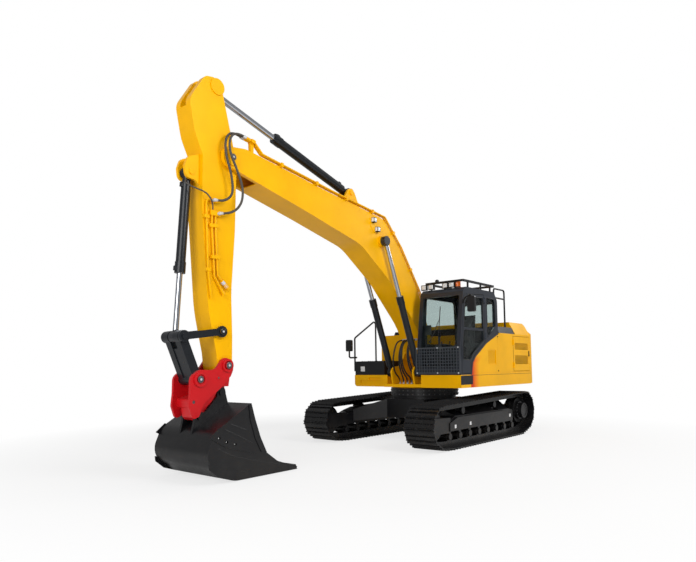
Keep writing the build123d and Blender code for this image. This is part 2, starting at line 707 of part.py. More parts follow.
with BuildPart() as rear_housing:
    length = HOUSING_FRONT_X - HOUSING_REAR_X
    extrude(section_face(housing_section(0), HOUSING_REAR_X), amount=length)
    hollow_face = section_face(housing_section(PANEL), HOUSING_REAR_X + PANEL)
    extrude(hollow_face, amount=length - 2 * PANEL, mode=Mode.SUBTRACT)
    tail_slope = [
        (HOUSING_REAR_X - 1, HOUSING_TOP - TAIL_SLOPE),
        (HOUSING_REAR_X + TAIL_SLOPE, HOUSING_TOP + 1),
        (HOUSING_REAR_X - 1, HOUSING_TOP + 1),
    ]
    side_slab(tail_slope, -UPPER_HALF, UPPER_HALF, Mode.SUBTRACT)
    for side in (-1, 1):
        y = side * UPPER_HALF
        block(DOOR_REAR_X, DOOR_FRONT_X, y, y - side * PANEL, DOOR_LOW, DOOR_HIGH, Mode.SUBTRACT)
    hood_low = HOUSING_TOP - PANEL - 1
    block(HOOD_REAR_X, HOOD_FRONT_X, -HOOD_HALF, HOOD_HALF, hood_low, HOUSING_TOP + 1, Mode.SUBTRACT)
    box_span = (-UPPER_HALF, UPPER_HALF, HOUSING_SIDE_TOP, HOUSING_TOP)
    block(AIR_BOX_REAR_X, HOUSING_FRONT_X, *box_span, Mode.SUBTRACT)
    bulkhead = [point for point in housing_section(0) if point[1] >= HOUSING_SIDE_TOP - 1]
    extrude(section_face(bulkhead, AIR_BOX_REAR_X - PANEL), amount=PANEL)
    side_slab(PANEL_EDGE, UPPER_HALF - PANEL, UPPER_HALF)
    seam_y = (UPPER_HALF - SEAM, UPPER_HALF)
    block(PANEL_SEAM_X, PANEL_SEAM_X + SEAM, *seam_y, SKIRT_SEAM_Z, HOUSING_SIDE_TOP - 60, Mode.SUBTRACT)
    block(HOUSING_REAR_X, 425, *seam_y, SKIRT_SEAM_Z - SEAM, SKIRT_SEAM_Z, Mode.SUBTRACT)
    block(*VENT_X, UPPER_HALF - 10, UPPER_HALF, *VENT_Z, Mode.SUBTRACT)
    for i in range(VENT_SLOTS):
        x = VENT_X[0] + (i + 0.5) * (VENT_X[1] - VENT_X[0]) / VENT_SLOTS
        block(x - 8, x + 8, UPPER_HALF - PANEL, UPPER_HALF, VENT_Z[0] + 20, VENT_Z[1] - 20, Mode.SUBTRACT)
    for side in (-1, 1):
        for z in DOOR_HINGE_Z:
            foot = (DOOR_FRONT_X + 34, side * UPPER_HALF)
            hinge_pin((DOOR_FRONT_X + 4, side * (UPPER_HALF + HINGE_OUT)), z - 40, z + 40, foot)
    for y in HOOD_HINGE_Y:
        hood_pin(y)
keep(rear_housing, "rear_housing")

with BuildPart() as air_box:
    length = HOUSING_FRONT_X - AIR_BOX_REAR_X
    low_half, high_half = UPPER_HALF - 12, UPPER_HALF - 80
    lid = [
        (low_half, HOUSING_SIDE_TOP),
        (high_half, AIR_BOX_TOP),
        (-high_half, AIR_BOX_TOP),
        (-low_half, HOUSING_SIDE_TOP),
    ]
    extrude(section_face(lid, AIR_BOX_REAR_X), amount=length)
    inner_lid = [
        (low_half - 2 * PANEL, HOUSING_SIDE_TOP),
        (high_half - 2 * PANEL, AIR_BOX_TOP - PANEL),
        (2 * PANEL - high_half, AIR_BOX_TOP - PANEL),
        (2 * PANEL - low_half, HOUSING_SIDE_TOP),
    ]
    extrude(section_face(inner_lid, AIR_BOX_REAR_X + PANEL), amount=length - 2 * PANEL, mode=Mode.SUBTRACT)
keep(air_box, "air_box")


def hood_knuckle(y):
    """Knuckle and leaf of one hood hinge, along Y."""
    cross_pin(HOOD_AXIS, HINGE_R, y - 40 + SEAT_GAP, y + 40 - SEAT_GAP)
    block(HOOD_AXIS[0] - 60, HOOD_AXIS[0], y - 40 + SEAT_GAP, y + 40 - SEAT_GAP, HOUSING_TOP, HOOD_AXIS[1])
    cross_pin(HOOD_AXIS, HINGE_PIN_R + PIN_FIT, y - 40, y + 40, Mode.SUBTRACT)


LOUVRE_STEP = 24.0


def louvred_door(side, name):
    """Side door of the rear housing, with two fields of through louvres."""
    y = side * UPPER_HALF
    low, high = y - side * PANEL, y
    rear, front = DOOR_REAR_X + PANEL_GAP, DOOR_FRONT_X - PANEL_GAP
    with BuildPart() as door:
        block(rear, front, low, high, DOOR_LOW + PANEL_GAP, DOOR_HIGH - PANEL_GAP)
        x_mid, wide = (rear + front) / 2, 0.84 * (front - rear)
        for z_mid, count in ((1852, 6), (1562, 8)):
            for i in range(count):
                z = z_mid + (i - (count - 1) / 2) * LOUVRE_STEP
                block(x_mid - wide / 2, x_mid + wide / 2, low, high, z - 6, z + 6, Mode.SUBTRACT)
        for z in DOOR_HINGE_Z:
            leaf = (DOOR_FRONT_X - 60, side * UPPER_HALF)
            hinge_knuckle((DOOR_FRONT_X + 4, side * (UPPER_HALF + HINGE_OUT)), z - 40, z + 40, leaf)
    keep(door, name)


louvred_door(1, "side_door_left")
louvred_door(-1, "side_door_right")

with BuildPart() as engine_hood:
    rear, front, half = HOOD_REAR_X + PANEL_GAP, HOOD_FRONT_X - PANEL_GAP, HOOD_HALF - PANEL_GAP
    block(rear, front, -half, half, HOUSING_TOP - PANEL, HOUSING_TOP)
    block(rear + 110, front - 110, 150 - half, half - 150, HOUSING_TOP, HOUSING_TOP + 35)
    chamfer(engine_hood.edges().group_by(Axis.Z)[-1], 25)
    for y in HOOD_HINGE_Y:
        hood_knuckle(y)
keep(engine_hood, "engine_hood")

EXHAUST_TALL = 330.0

with BuildPart() as exhaust:
    with Locations(((HOUSING_FRONT_X + AIR_BOX_REAR_X) / 2, -760, AIR_BOX_TOP + EXHAUST_TALL / 2)):
        Cylinder(75, EXHAUST_TALL)
        Cylinder(60, EXHAUST_TALL, mode=Mode.SUBTRACT)
keep(exhaust, "exhaust")

with BuildPart() as engine_block:
    block(HOUSING_REAR_X + 240, AIR_BOX_REAR_X + 220, -620, 560, DECK_TOP, HOUSING_SIDE_TOP - 30)
keep(engine_block, "engine_block")

LIFT_EYE = (290.0 - TAIL_RADIUS, TAIL_TOP + 70)
LIFT_EYE_Y = 620.0
LIFT_EYE_R = 28.0
LIFT_EYE_T = 60.0
TAIL_CORNER_R = 260.0

with BuildPart() as counterweight:
    with BuildSketch(Plane.XY.offset(DECK_LOW + 10)) as tail_plan:
        with BuildLine():
            Line((HOUSING_REAR_X, UPPER_HALF), (TAIL_SIDE_X, UPPER_HALF))
            ThreePointArc((TAIL_SIDE_X, UPPER_HALF), (-TAIL_RADIUS, 0), (TAIL_SIDE_X, -UPPER_HALF))
            Line((TAIL_SIDE_X, -UPPER_HALF), (HOUSING_REAR_X, -UPPER_HALF))
            Line((HOUSING_REAR_X, -UPPER_HALF), (HOUSING_REAR_X, UPPER_HALF))
        make_face()
        fillet(tail_plan.vertices().group_by(Axis.X)[0], TAIL_CORNER_R)
    extrude(tail_plan.sketch, amount=TAIL_TOP - DECK_LOW - 10)
    top_edges = counterweight.faces().sort_by(Axis.Z)[-1].edges()
    chamfer(top_edges.filter_by(lambda e: e.center().X < HOUSING_REAR_X - 10), 130)
    for y in (-LIFT_EYE_Y, LIFT_EYE_Y):
        lug_low, lug_high = y - LIFT_EYE_T / 2, y + LIFT_EYE_T / 2
        block(LIFT_EYE[0] - 75, LIFT_EYE[0] + 75, lug_low, lug_high, TAIL_TOP - 190, LIFT_EYE[1])
        cross_pin(LIFT_EYE, 75.0, lug_low, lug_high)
        cross_pin(LIFT_EYE, LIFT_EYE_R, lug_low, lug_high, Mode.SUBTRACT)
keep(counterweight, "counterweight")

# Cab
CAB_DRAWN_HEIGHT = 1650.0
CAB_TOP_X = CAB_FRONT_X - 155.0


def cab_level(height):
    """Z of a height drawn in the cab's side view, over the floor and up to the roof."""
    return CAB_FLOOR + height * (CAB_ROOF - CAB_FLOOR) / CAB_DRAWN_HEIGHT


CAB_SIDE = (
    (CAB_FRONT_X, CAB_FLOOR),
    (CAB_FRONT_X, cab_level(550)),
    (CAB_TOP_X, cab_level(1570), 80),
    (600, CAB_ROOF, 80),
    (-560, CAB_ROOF, 90),
    (CAB_REAR_X, cab_level(1480), 90),
    (CAB_REAR_X, CAB_FLOOR),
)
CAB_INSIDE = (
    (CAB_FRONT_X - 60, CAB_FLOOR + 60),
    (CAB_FRONT_X - 60, cab_level(560)),
    (650, cab_level(1530), 60),
    (580, CAB_ROOF - 70, 60),
    (-530, CAB_ROOF - 70, 60),
    (CAB_REAR_X + 55, cab_level(1460), 60),
    (CAB_REAR_X + 55, CAB_FLOOR + 60),
)
CAB_PILLAR_X = -125.0
CAB_HINGE_X = CAB_PILLAR_X - 2.0
CAB_HINGE_Z = (cab_level(740), cab_level(1440))
DOOR_OUTLINE = (
    (815, CAB_FLOOR + 20, 20),
    (815, cab_level(570), 60),
    (680, cab_level(1510), 60),
    (CAB_PILLAR_X, cab_level(1560), 40),
    (CAB_PILLAR_X, cab_level(620), 60),
    (300, cab_level(376), 120),
    (420, cab_level(256), 120),
    (480, CAB_FLOOR + 20, 20),
)
DOOR_INSET = 10.0
DOOR_WINDOW = (
    (745, cab_level(550), 60),
    (625, cab_level(1455), 70),
    (-60, cab_level(1490), 70),
    (-70, cab_level(655), 60),
    (325, cab_level(425), 120),
    (455, cab_level(330), 60),
    (470, cab_level(280), 40),
    (745, cab_level(280), 60),
)
DOOR_BAR_Z = (cab_level(840), cab_level(885))
REAR_SIDE_WINDOW = (
    (-240, cab_level(710), 60),
    (-235, cab_level(1510), 60),
    (-540, cab_level(1500), 80),
    (-585, cab_level(1410), 60),
    (-600, cab_level(960), 60),
)
FRONT_WINDOW_LOW = cab_level(140)
FRONT_WINDOW_HIGH = cab_level(1485)
REAR_WINDOW_Z = (cab_level(870), cab_level(1420))
CAB_KNEE_Z = cab_level(552)
RIGHT_WINDOW = (
    (640, cab_level(600), 60),
    (540, cab_level(1500), 60),
    (-560, cab_level(1500), 60),
    (-600, cab_level(600), 60),
)
CAB_MID_Y = (CAB_INNER_Y + UPPER_HALF) / 2
GLASS = 8.0


with BuildPart() as cab_shell:
    side_slab(CAB_SIDE, CAB_INNER_Y, UPPER_HALF)
    side_slab(CAB_INSIDE, CAB_INNER_Y + CAB_WALL, UPPER_HALF - CAB_WALL, Mode.SUBTRACT)
    side_slab(PANEL_EDGE, UPPER_HALF - PANEL - 4, UPPER_HALF, Mode.SUBTRACT)
    side_slab(DOOR_OUTLINE, UPPER_HALF - CAB_WALL, UPPER_HALF, Mode.SUBTRACT)
    side_slab(REAR_SIDE_WINDOW, UPPER_HALF - CAB_WALL, UPPER_HALF, Mode.SUBTRACT)
    side_slab(RIGHT_WINDOW, CAB_INNER_Y, CAB_INNER_Y + CAB_WALL, Mode.SUBTRACT)
    block(500, 900, CAB_INNER_Y + 75, UPPER_HALF - 75, FRONT_WINDOW_LOW, FRONT_WINDOW_HIGH, Mode.SUBTRACT)
    rear_window = (CAB_INNER_Y + 90, UPPER_HALF - 90, *REAR_WINDOW_Z)
    block(CAB_REAR_X - 5, CAB_REAR_X + 70, *rear_window, Mode.SUBTRACT)
    for z in CAB_HINGE_Z:
        hinge_pin((CAB_HINGE_X, UPPER_HALF + HINGE_OUT), z - 40, z + 40, (CAB_HINGE_X - 30, UPPER_HALF))
keep(cab_shell, "cab_shell")

with BuildPart() as cab_door:
    extrude(inset_face(DOOR_OUTLINE, UPPER_HALF, DOOR_INSET), amount=CAB_WALL - 5)
    side_slab(DOOR_WINDOW, UPPER_HALF - CAB_WALL, UPPER_HALF, Mode.SUBTRACT)
    block(-80, 725, UPPER_HALF - 17.7, UPPER_HALF, *DOOR_BAR_Z)
    for z in CAB_HINGE_Z:
        hinge_knuckle((CAB_HINGE_X, UPPER_HALF + HINGE_OUT), z - 40, z + 40, (CAB_HINGE_X + 58, UPPER_HALF))
keep(cab_door, "cab_door")

with BuildPart() as door_glass:
    extrude(inset_face(DOOR_WINDOW, UPPER_HALF - 18, 0.3), amount=GLASS)
keep(door_glass, "door_glass")

with BuildPart() as cab_glass:
    extrude(inset_face(REAR_SIDE_WINDOW, UPPER_HALF - 16, 0.3), amount=GLASS)
    extrude(inset_face(RIGHT_WINDOW, CAB_INNER_Y + 24, 0.3), amount=GLASS)
    glass_y = (CAB_INNER_Y + 75.3, UPPER_HALF - 75.3)
    pane_top = FRONT_WINDOW_HIGH - 0.3
    lean = (pane_top - CAB_KNEE_Z) * (CAB_FRONT_X - CAB_TOP_X) / (cab_level(1570) - cab_level(550))
    front_pane = [
        (CAB_FRONT_X - 24, FRONT_WINDOW_LOW + 0.3),
        (CAB_FRONT_X - 24, CAB_KNEE_Z),
        (CAB_FRONT_X - 24 - lean, pane_top),
        (CAB_FRONT_X - 32 - lean, pane_top),
        (CAB_FRONT_X - 32, CAB_KNEE_Z),
        (CAB_FRONT_X - 32, FRONT_WINDOW_LOW + 0.3),
    ]
    side_slab(front_pane, *glass_y)
    rear_low, rear_high = REAR_WINDOW_Z
    rear_y = (CAB_INNER_Y + 90.3, UPPER_HALF - 90.3)
    block(CAB_REAR_X + 20, CAB_REAR_X + 28, *rear_y, rear_low + 0.3, rear_high - 0.3)
keep(cab_glass, "cab_glass")

GUARD_Y = (CAB_INNER_Y - 10, UPPER_HALF + 17)
GUARD_Z = (1305.0, 1800.0)
GUARD_CELLS = (16, 8)
GUARD_RIM = 26.0
GUARD_BAR = 14.0

with BuildPart() as mesh_guard:
    guard_x = CAB_FRONT_X + 35
    block(guard_x, guard_x + 12, *GUARD_Y, *GUARD_Z)
    cell_y = (GUARD_Y[1] - GUARD_Y[0] - 2 * GUARD_RIM + GUARD_BAR) / GUARD_CELLS[0]
    cell_z = (GUARD_Z[1] - GUARD_Z[0] - 2 * GUARD_RIM + GUARD_BAR) / GUARD_CELLS[1]
    guard_middle = (guard_x + 6, sum(GUARD_Y) / 2, sum(GUARD_Z) / 2)
    with BuildSketch(Plane(guard_middle, x_dir=(0, 1, 0), z_dir=(1, 0, 0))) as mesh:
        with GridLocations(cell_y, cell_z, *GUARD_CELLS):
            Rectangle(cell_y - GUARD_BAR, cell_z - GUARD_BAR)
    extrude(mesh.sketch, amount=10, both=True, mode=Mode.SUBTRACT)
    for y in (CAB_INNER_Y + 20, UPPER_HALF - 25):
        for z in (GUARD_Z[0] + 13, GUARD_Z[1] - 13):
            block(CAB_FRONT_X, guard_x, y - 14, y + 14, z - 12, z + 12)
keep(mesh_guard, "mesh_guard")

RAIL_TUBE = 18.0


def tube_route(points, bend=60.0, radius=RAIL_TUBE):
    """Bent tube along 3-D points with round bends."""
    with BuildLine() as route:
        if len(points) > 2:
            FilletPolyline(*points, radius=bend)
        else:
            Polyline(*points)
    start = route.line @ 0
    plane = Plane(origin=start, z_dir=route.line % 0)
    with BuildSketch(plane) as section:
        Circle(radius)
    sweep(section.sketch, path=route.line)


RACK_FRONT_X = 600.0
RACK_REAR_X = -690.0
RACK_INSET = 45.0
RACK_TUBE = 40.0
RACK_Z = CAB_ROOF + 112.0

with BuildPart() as roof_rack:
    rack_length = RACK_FRONT_X - RACK_REAR_X
    rack_width = UPPER_HALF - CAB_INNER_Y - 2 * RACK_INSET
    with BuildSketch(Plane.XY.offset(RACK_Z)) as ring:
        with Locations(((RACK_FRONT_X + RACK_REAR_X) / 2, CAB_MID_Y)):
            RectangleRounded(rack_length, rack_width, 20)
            Rectangle(rack_length - 2 * RACK_TUBE, rack_width - 2 * RACK_TUBE, mode=Mode.SUBTRACT)
    extrude(ring.sketch, amount=RACK_TUBE)
    for x in (400, -120, -520):
        for y in (CAB_INNER_Y + RACK_INSET + RACK_TUBE / 2, UPPER_HALF - RACK_INSET - RACK_TUBE / 2):
            block(x - 14, x + 14, y - 14, y + 14, CAB_ROOF, RACK_Z)
keep(roof_rack, "roof_rack")

with BuildPart() as roof_lamps:
    for y in (CAB_INNER_Y + 25, CAB_INNER_Y + 190, UPPER_HALF - 435, UPPER_HALF - 290):
        lamp_x = (RACK_FRONT_X - 40, RACK_FRONT_X + 25)
        block(*lamp_x, y - 58, y + 58, CAB_ROOF + 10, RACK_Z)
        lens_face = (RACK_FRONT_X + 20, RACK_FRONT_X + 25, y - 48, y + 48, CAB_ROOF + 20, RACK_Z - 10)
        block(*lens_face, Mode.SUBTRACT)
keep(roof_lamps, "roof_lamps")

with BuildPart() as beacon:
    with Locations((500, UPPER_HALF - 225, CAB_ROOF + 80)):
        Cylinder(58, 160)
    fillet(beacon.edges().group_by(Axis.Z)[-1], 30)
keep(beacon, "beacon")

POST_X = BOX_FRONT_X - 22
POST_Y = -UPPER_HALF - RAIL_TUBE + 9.7
RAIL_END = (TANK_FRONT_X + 205, 2500.0)
RAIL_BEND_Z = 2075.0
MIRROR_OUT_Y = UPPER_HALF + 290.0
LOOP_X = (-895.0, -1390.0)
LOOP_Y = UPPER_HALF - 165.0
LOOP_BAR_Z = 2865.0

with BuildPart() as handrails:
    rail_start = (POST_X, POST_Y, STEP_BOX_TOP - 210)
    rail_bend = (POST_X, POST_Y, RAIL_BEND_Z)
    rail_crest = (RAIL_END[0], POST_Y, RAIL_END[1])
    tube_route([rail_start, rail_bend, rail_crest, (RAIL_END[0], POST_Y, STEP_BOX_TOP - 60)])
    feet = ((POST_X, STEP_BOX_TOP - 190), (POST_X, STEP_BOX_TOP - 60), (RAIL_END[0], STEP_BOX_TOP - 60))
    for x, z in feet:
        block(x - 14, x + 14, POST_Y, 9.7 - UPPER_HALF, z - 14, z + 14)
    rail_top = CAB_ROOF + 125
    rear_post = [(LOOP_X[1], LOOP_Y, AIR_BOX_TOP), (LOOP_X[1], LOOP_Y, rail_top)]
    tube_route(rear_post + [(LOOP_X[0], LOOP_Y, rail_top), (LOOP_X[0], LOOP_Y, AIR_BOX_TOP)])
    tube_route([(LOOP_X[1], LOOP_Y, LOOP_BAR_Z), (LOOP_X[0], LOOP_Y, LOOP_BAR_Z)])
keep(handrails, "handrails")


def mirror_head(x, y_low, y_high, z_low, z_high):
    """Mirror housing with rounded corners, its glass on the rear side."""
    centre = (x, (y_low + y_high) / 2, (z_low + z_high) / 2)
    with BuildSketch(Plane(centre, x_dir=(0, 1, 0), z_dir=(1, 0, 0))) as face:
        RectangleRounded(y_high - y_low, z_high - z_low, 28)
    extrude(face.sketch, amount=32, both=True)


with BuildPart() as mirrors:
    mirror_head(POST_X - 60, -MIRROR_OUT_Y, 150 - MIRROR_OUT_Y, 1795, 2045)
    arm_y = 75 - MIRROR_OUT_Y
    low_arm = [(POST_X - 60, arm_y, 1795), (POST_X - 60, arm_y, 1655)]
    tube_route(low_arm + [(POST_X - 60, POST_Y, 1655)], 40)
    block(POST_X - 60, POST_X - RAIL_TUBE - SEAT_GAP, POST_Y - 14, POST_Y + 14, 1641, 1669)
    pad_z = cab_level(1360)
    pad_x = CAB_FRONT_X - 135
    block(pad_x - 13, pad_x + 13, UPPER_HALF + SEAT_GAP, UPPER_HALF + 30, pad_z - 40, pad_z + 40)
    mirror_x, arm_y = CAB_TOP_X + 85, MIRROR_OUT_Y - 75
    mirror_head(mirror_x, MIRROR_OUT_Y - 150, MIRROR_OUT_Y, pad_z - 210, pad_z + 75)
    arm_root = [(pad_x, UPPER_HALF + 15, pad_z), (mirror_x, UPPER_HALF + 90, pad_z + 60)]
    tube_route(arm_root + [(mirror_x, arm_y, pad_z + 110), (mirror_x, arm_y, pad_z + 60)], 25)
keep(mirrors, "mirrors")

CAB_ROOM_HALF = (UPPER_HALF - CAB_INNER_Y) / 2 - CAB_WALL
SEAT_HALF = CAB_ROOM_HALF - 183.0

with BuildPart() as seat:
    cushion_low, cushion_top = cab_level(420), cab_level(570)
    block(-220, 260, CAB_MID_Y - SEAT_HALF, CAB_MID_Y + SEAT_HALF, cushion_low, cushion_top)
    back_top = cab_level(1200)
    back = [(-180, cushion_top), (-60, cushion_top), (-170, back_top), (-270, back_top)]
    side_slab(back, CAB_MID_Y - SEAT_HALF + 10, CAB_MID_Y + SEAT_HALF - 10)
    base_half = SEAT_HALF - 60
    block(-150, 200, CAB_MID_Y - base_half, CAB_MID_Y + base_half, CAB_FLOOR + 60, cushion_low)
keep(seat, "seat")

with BuildPart() as consoles:
    for side in (-1, 1):
        y = CAB_MID_Y + side * (CAB_ROOM_HALF - 93)
        block(-150, 330, y - 60, y + 60, CAB_FLOOR + 60, cushion_top + 30)
        with Locations((270, y, cushion_top + 110)):
            Cylinder(22, 160)
keep(consoles, "consoles")

# Boom
BOOM_OUTLINE = (
    (BOOM_FOOT[0] - 155, BOOM_FOOT[1] - 60, 100),
    (BOOM_FOOT[0] - 130, BOOM_FOOT[1] + 110, 100),
    (520, 2940, 1200),
    (1130, 3720, 900),
    (1640, 4210, 450),
    (3090, 4365, 2500),
    (4940, 4600, 300),
    (ARM_PIN[0] + 150, ARM_PIN[1] + 130, 140),
    (ARM_PIN[0] + 150, ARM_PIN[1] - 130, 140),
    (5080, 4235, 200),
    (3600, 3915, 2500),
    (2330, 3620, 900),
    (1500, 3070, 1500),
    (600, 2230, 1500),
    (BOOM_FOOT[0] + 160, BOOM_FOOT[1] - 110, 110),
)


# Top edge of the boom from the foot to the nose, and what stands on it
BOOM_TOP_LINE = ((300, 2483), (520, 2940), (1130, 3720), (1640, 4210), (3090, 4365), (4650, 4563))
BOOM_PIPE_Y = (194.0, 224.0, 254.0)
PIPE_R = 12.0
PIPE_LIFT = 42.0
BOOM_LAMPS = ((1985.0, 4120.0), (1880.0, 3965.0))
LAMP_BRACKET = [
    (2060, 4040, 20),
    (2060, 4175, 20),
    (1900, 4175, 20),
    (1800, 4010, 20),
    (1820, 3900, 20),
    (1950, 3900, 20),
]


def beside(points, out):
    """Open (X, Z) route moved to its left by an amount, corner by corner."""
    moved = []
    for i, here in enumerate(points):
        first = unit(points[i - 1], here) if i else unit(here, points[1])
        second = unit(here, points[i + 1]) if i + 1 < len(points) else first
        reach = out / (1 + first[0] * second[0] + first[1] * second[1])
        moved.append((here[0] - (first[1] + second[1]) * reach, here[1] + (first[0] + second[0]) * reach))
    return moved


def clamp_outline(start, end, distance):
    """Foot of a pipe clamp on the plate from start to end, as a side view outline."""
    ux, uz = unit(start, end)
    x, z = along(start, end, distance)
    corners = []
    for ahead, out in ((-22, SEAT_GAP), (22, SEAT_GAP), (22, PIPE_LIFT + 20), (-22, PIPE_LIFT + 20)):
        corners.append((x + ux * ahead - uz * out, z + uz * ahead + ux * out))
    return corners


BOOM_NOSE_X = 4700.0
BOOM_SOLID_FOOT_Z = 2150.0
boom_void = section_void(
    BOOM_OUTLINE, EDGE_PLATE_T, BOOM_HALF - SIDE_PLATE_T, -400, BOOM_NOSE_X, BOOM_SOLID_FOOT_Z, 5000
)

with BuildPart() as boom:
    side_slab(BOOM_OUTLINE, -BOOM_HALF, BOOM_HALF)
    add(boom_void, mode=Mode.SUBTRACT)
    block(BOOM_NOSE_X - 1, ARM_PIN[0] + 400, -BOOM_EAR_IN, BOOM_EAR_IN, 3900, 4900, Mode.SUBTRACT)
    cross_pin(BOOM_FOOT, PIN_R + 5 + PIN_FIT, -BOOM_HALF, BOOM_HALF, Mode.SUBTRACT)
    cross_pin(ARM_PIN, PIN_R, -BOOM_HALF - 30, BOOM_HALF + 30)
    cross_pin_pair(ARM_PIN, 120, BOOM_HALF, BOOM_HALF + 18)
    cross_pin_pair(BOOM_CYL_ROD, 105, BOOM_HALF, BOOM_CYL_Y - BOOM_EYE_HALF - EYE_GAP)
    arm_cyl_lug = [
        (ARM_CYL_BASE[0] - 300, 4220),
        (ARM_CYL_BASE[0] + 300, 4260),
        (ARM_CYL_BASE[0] + 75, ARM_CYL_BASE[1] + 50, 60),
        (ARM_CYL_BASE[0] - 25, ARM_CYL_BASE[1] + 82, 60),
        (ARM_CYL_BASE[0] - 95, ARM_CYL_BASE[1] + 10, 60),
    ]
    side_pair(arm_cyl_lug, EYE_HALF + EYE_GAP, EYE_HALF + EYE_GAP + 40)
    cross_pin(ARM_CYL_BASE, PIN_R, -EYE_HALF - EYE_GAP - 60, EYE_HALF + EYE_GAP + 60)
    side_slab(LAMP_BRACKET, BOOM_HALF, BOOM_HALF + 8)
    block(ARM_PIN[0] + 20, ARM_PIN[0] + 80, BOOM_HALF, BOOM_HALF + 25, ARM_PIN[1] - 30, ARM_PIN[1] + 30)
keep(boom, "boom")

with BuildPart() as boom_pipes:
    for y in BOOM_PIPE_Y:
        raised = [(4790, y, 4735), (4905, y, 4752)]
        pipe_line = [(x, y, z) for x, z in beside(BOOM_TOP_LINE, PIPE_LIFT)]
        tube_route(pipe_line + raised, 60, PIPE_R)
        turned((4880, 4748), (4960, 4760), y, [(0, 0), (0, 20), (80, 20), (80, 0)])
    clamp_y = (BOOM_PIPE_Y[0] - 20, BOOM_PIPE_Y[-1] + 20)
    for start, end in zip(BOOM_TOP_LINE, BOOM_TOP_LINE[1:]):
        span = hypot(end[0] - start[0], end[1] - start[1])
        count = max(1, round(span / 800))
        for i in range(count):
            side_slab(clamp_outline(start, end, (i + 0.5) * span / count), *clamp_y)
    post = [(4800, 4583), (4850, 4590), (4860, 4765), (4790, 4755)]
    side_slab(post, BOOM_EAR_IN + 6, BOOM_HALF - 3)
    side_slab([(4790, 4712), (4860, 4722), (4860, 4770), (4790, 4760)], *clamp_y)
keep(boom_pipes, "boom_pipes")

with BuildPart() as boom_lamps:
    for x, z in BOOM_LAMPS:
        lamp_y = BOOM_HALF + 8 + SEAT_GAP
        block(x - 42, x + 42, lamp_y, lamp_y + 62, z - 42, z + 42)
keep(boom_lamps, "boom_lamps")

# Arm
ARM_OUTLINE = (
    (5330, 5420, 100),
    (5440, 5500, 90),
    (5600, 5470, 120),
    (5850, 5060, 200),
    (5760, 4620, 500),
    (5630, 4340, 200),
    (5645, 3700, 1500),
    (5535, 2250, 2500),
    (ARM_TIP[0] + 150, ARM_TIP[1] + 180, 200),
    (ARM_TIP[0] + 115, ARM_TIP[1] - 115, 110),
    (ARM_TIP[0] - 115, ARM_TIP[1] - 115, 110),
    (ARM_TIP[0] - 120, ARM_TIP[1] + 400, 900),
    (5150, 2500, 2500),
    (5085, 3400, 2500),
    (ARM_PIN[0] - 130, ARM_PIN[1] - 60, 200),
    (ARM_PIN[0] - 60, ARM_PIN[1] + 240, 900),
)


def route_x(route, z):
    """X at a height on a route that runs downwards."""
    for start, end in zip(route, route[1:]):
        if end[1] <= z < start[1]:
            return start[0] + (end[0] - start[0]) * (start[1] - z) / (start[1] - end[1])
    raise ValueError("the route does not pass this height")


ARM_VOID_LOW = 2300.0
ARM_VOID_HIGH = 5000.0
ARM_EAR_IN = EYE_HALF + EYE_GAP
arm_void = section_void(
    ARM_OUTLINE, EDGE_PLATE_T, ARM_HALF - SIDE_PLATE_T, 4900, 6000, ARM_VOID_LOW, ARM_VOID_HIGH
)

with BuildPart() as arm:
    side_slab(ARM_OUTLINE, -ARM_HALF, ARM_HALF)
    add(arm_void, mode=Mode.SUBTRACT)
    block(5000, 6000, -ARM_EAR_IN, ARM_EAR_IN, ARM_VOID_HIGH - 1, 5700, Mode.SUBTRACT)
    cross_pin(ARM_PIN, 175, -BOOM_EAR_IN + 5, BOOM_EAR_IN - 5)
    cross_pin(ARM_PIN, PIN_R + PIN_FIT, -BOOM_EAR_IN, BOOM_EAR_IN, Mode.SUBTRACT)
    cross_pin_pair(ARM_CYL_ROD, 115, ARM_HALF, ARM_HALF + 16)
    bucket_lug = [
        (5560, 4400),
        (BUCKET_CYL_BASE[0] + 60, BUCKET_CYL_BASE[1] + 190, 80),
        (BUCKET_CYL_BASE[0] + 105, BUCKET_CYL_BASE[1] + 60, 70),
        (BUCKET_CYL_BASE[0] + 85, BUCKET_CYL_BASE[1] - 95, 80),
        (BUCKET_CYL_BASE[0] - 60, BUCKET_CYL_BASE[1] - 100, 40),
        (5560, 3840),
    ]
    side_pair(bucket_lug, ARM_EAR_IN, ARM_EAR_IN + 45)
    cross_pin(BUCKET_CYL_BASE, PIN_R - 5, -ARM_EAR_IN - 60, ARM_EAR_IN + 60)
    cross_pin(ROCKER_PIN, PIN_R - 5, -CHEEK_OUT - 12, CHEEK_OUT + 12)
    cross_pin(ARM_TIP, PIN_R + PIN_FIT, -ARM_HALF, ARM_HALF, Mode.SUBTRACT)
keep(arm, "arm")

# Hard lines on the arm's left side: (X, Z) routes with the clamps' heights
ARM_PIPE_Y = ARM_HALF + 26.0
ARM_PIPES = (
    (((5480, 3735), (5590, 3735), (5590, 3560), (5560, 2760), (5505, 2400)), (3500, 2780)),
    (((5500, 3540), (5500, 3380), (5455, 2700), (5345, 2530)), (3390, 2960)),
    (((5440, 3540), (5440, 3380), (5400, 2720), (5340, 2650)), (3395, 2965)),
)
ARM_FITTINGS = (((5345, 2530), (5300, 2460), 19.0), ((5340, 2650), (5225, 2545), 24.0))

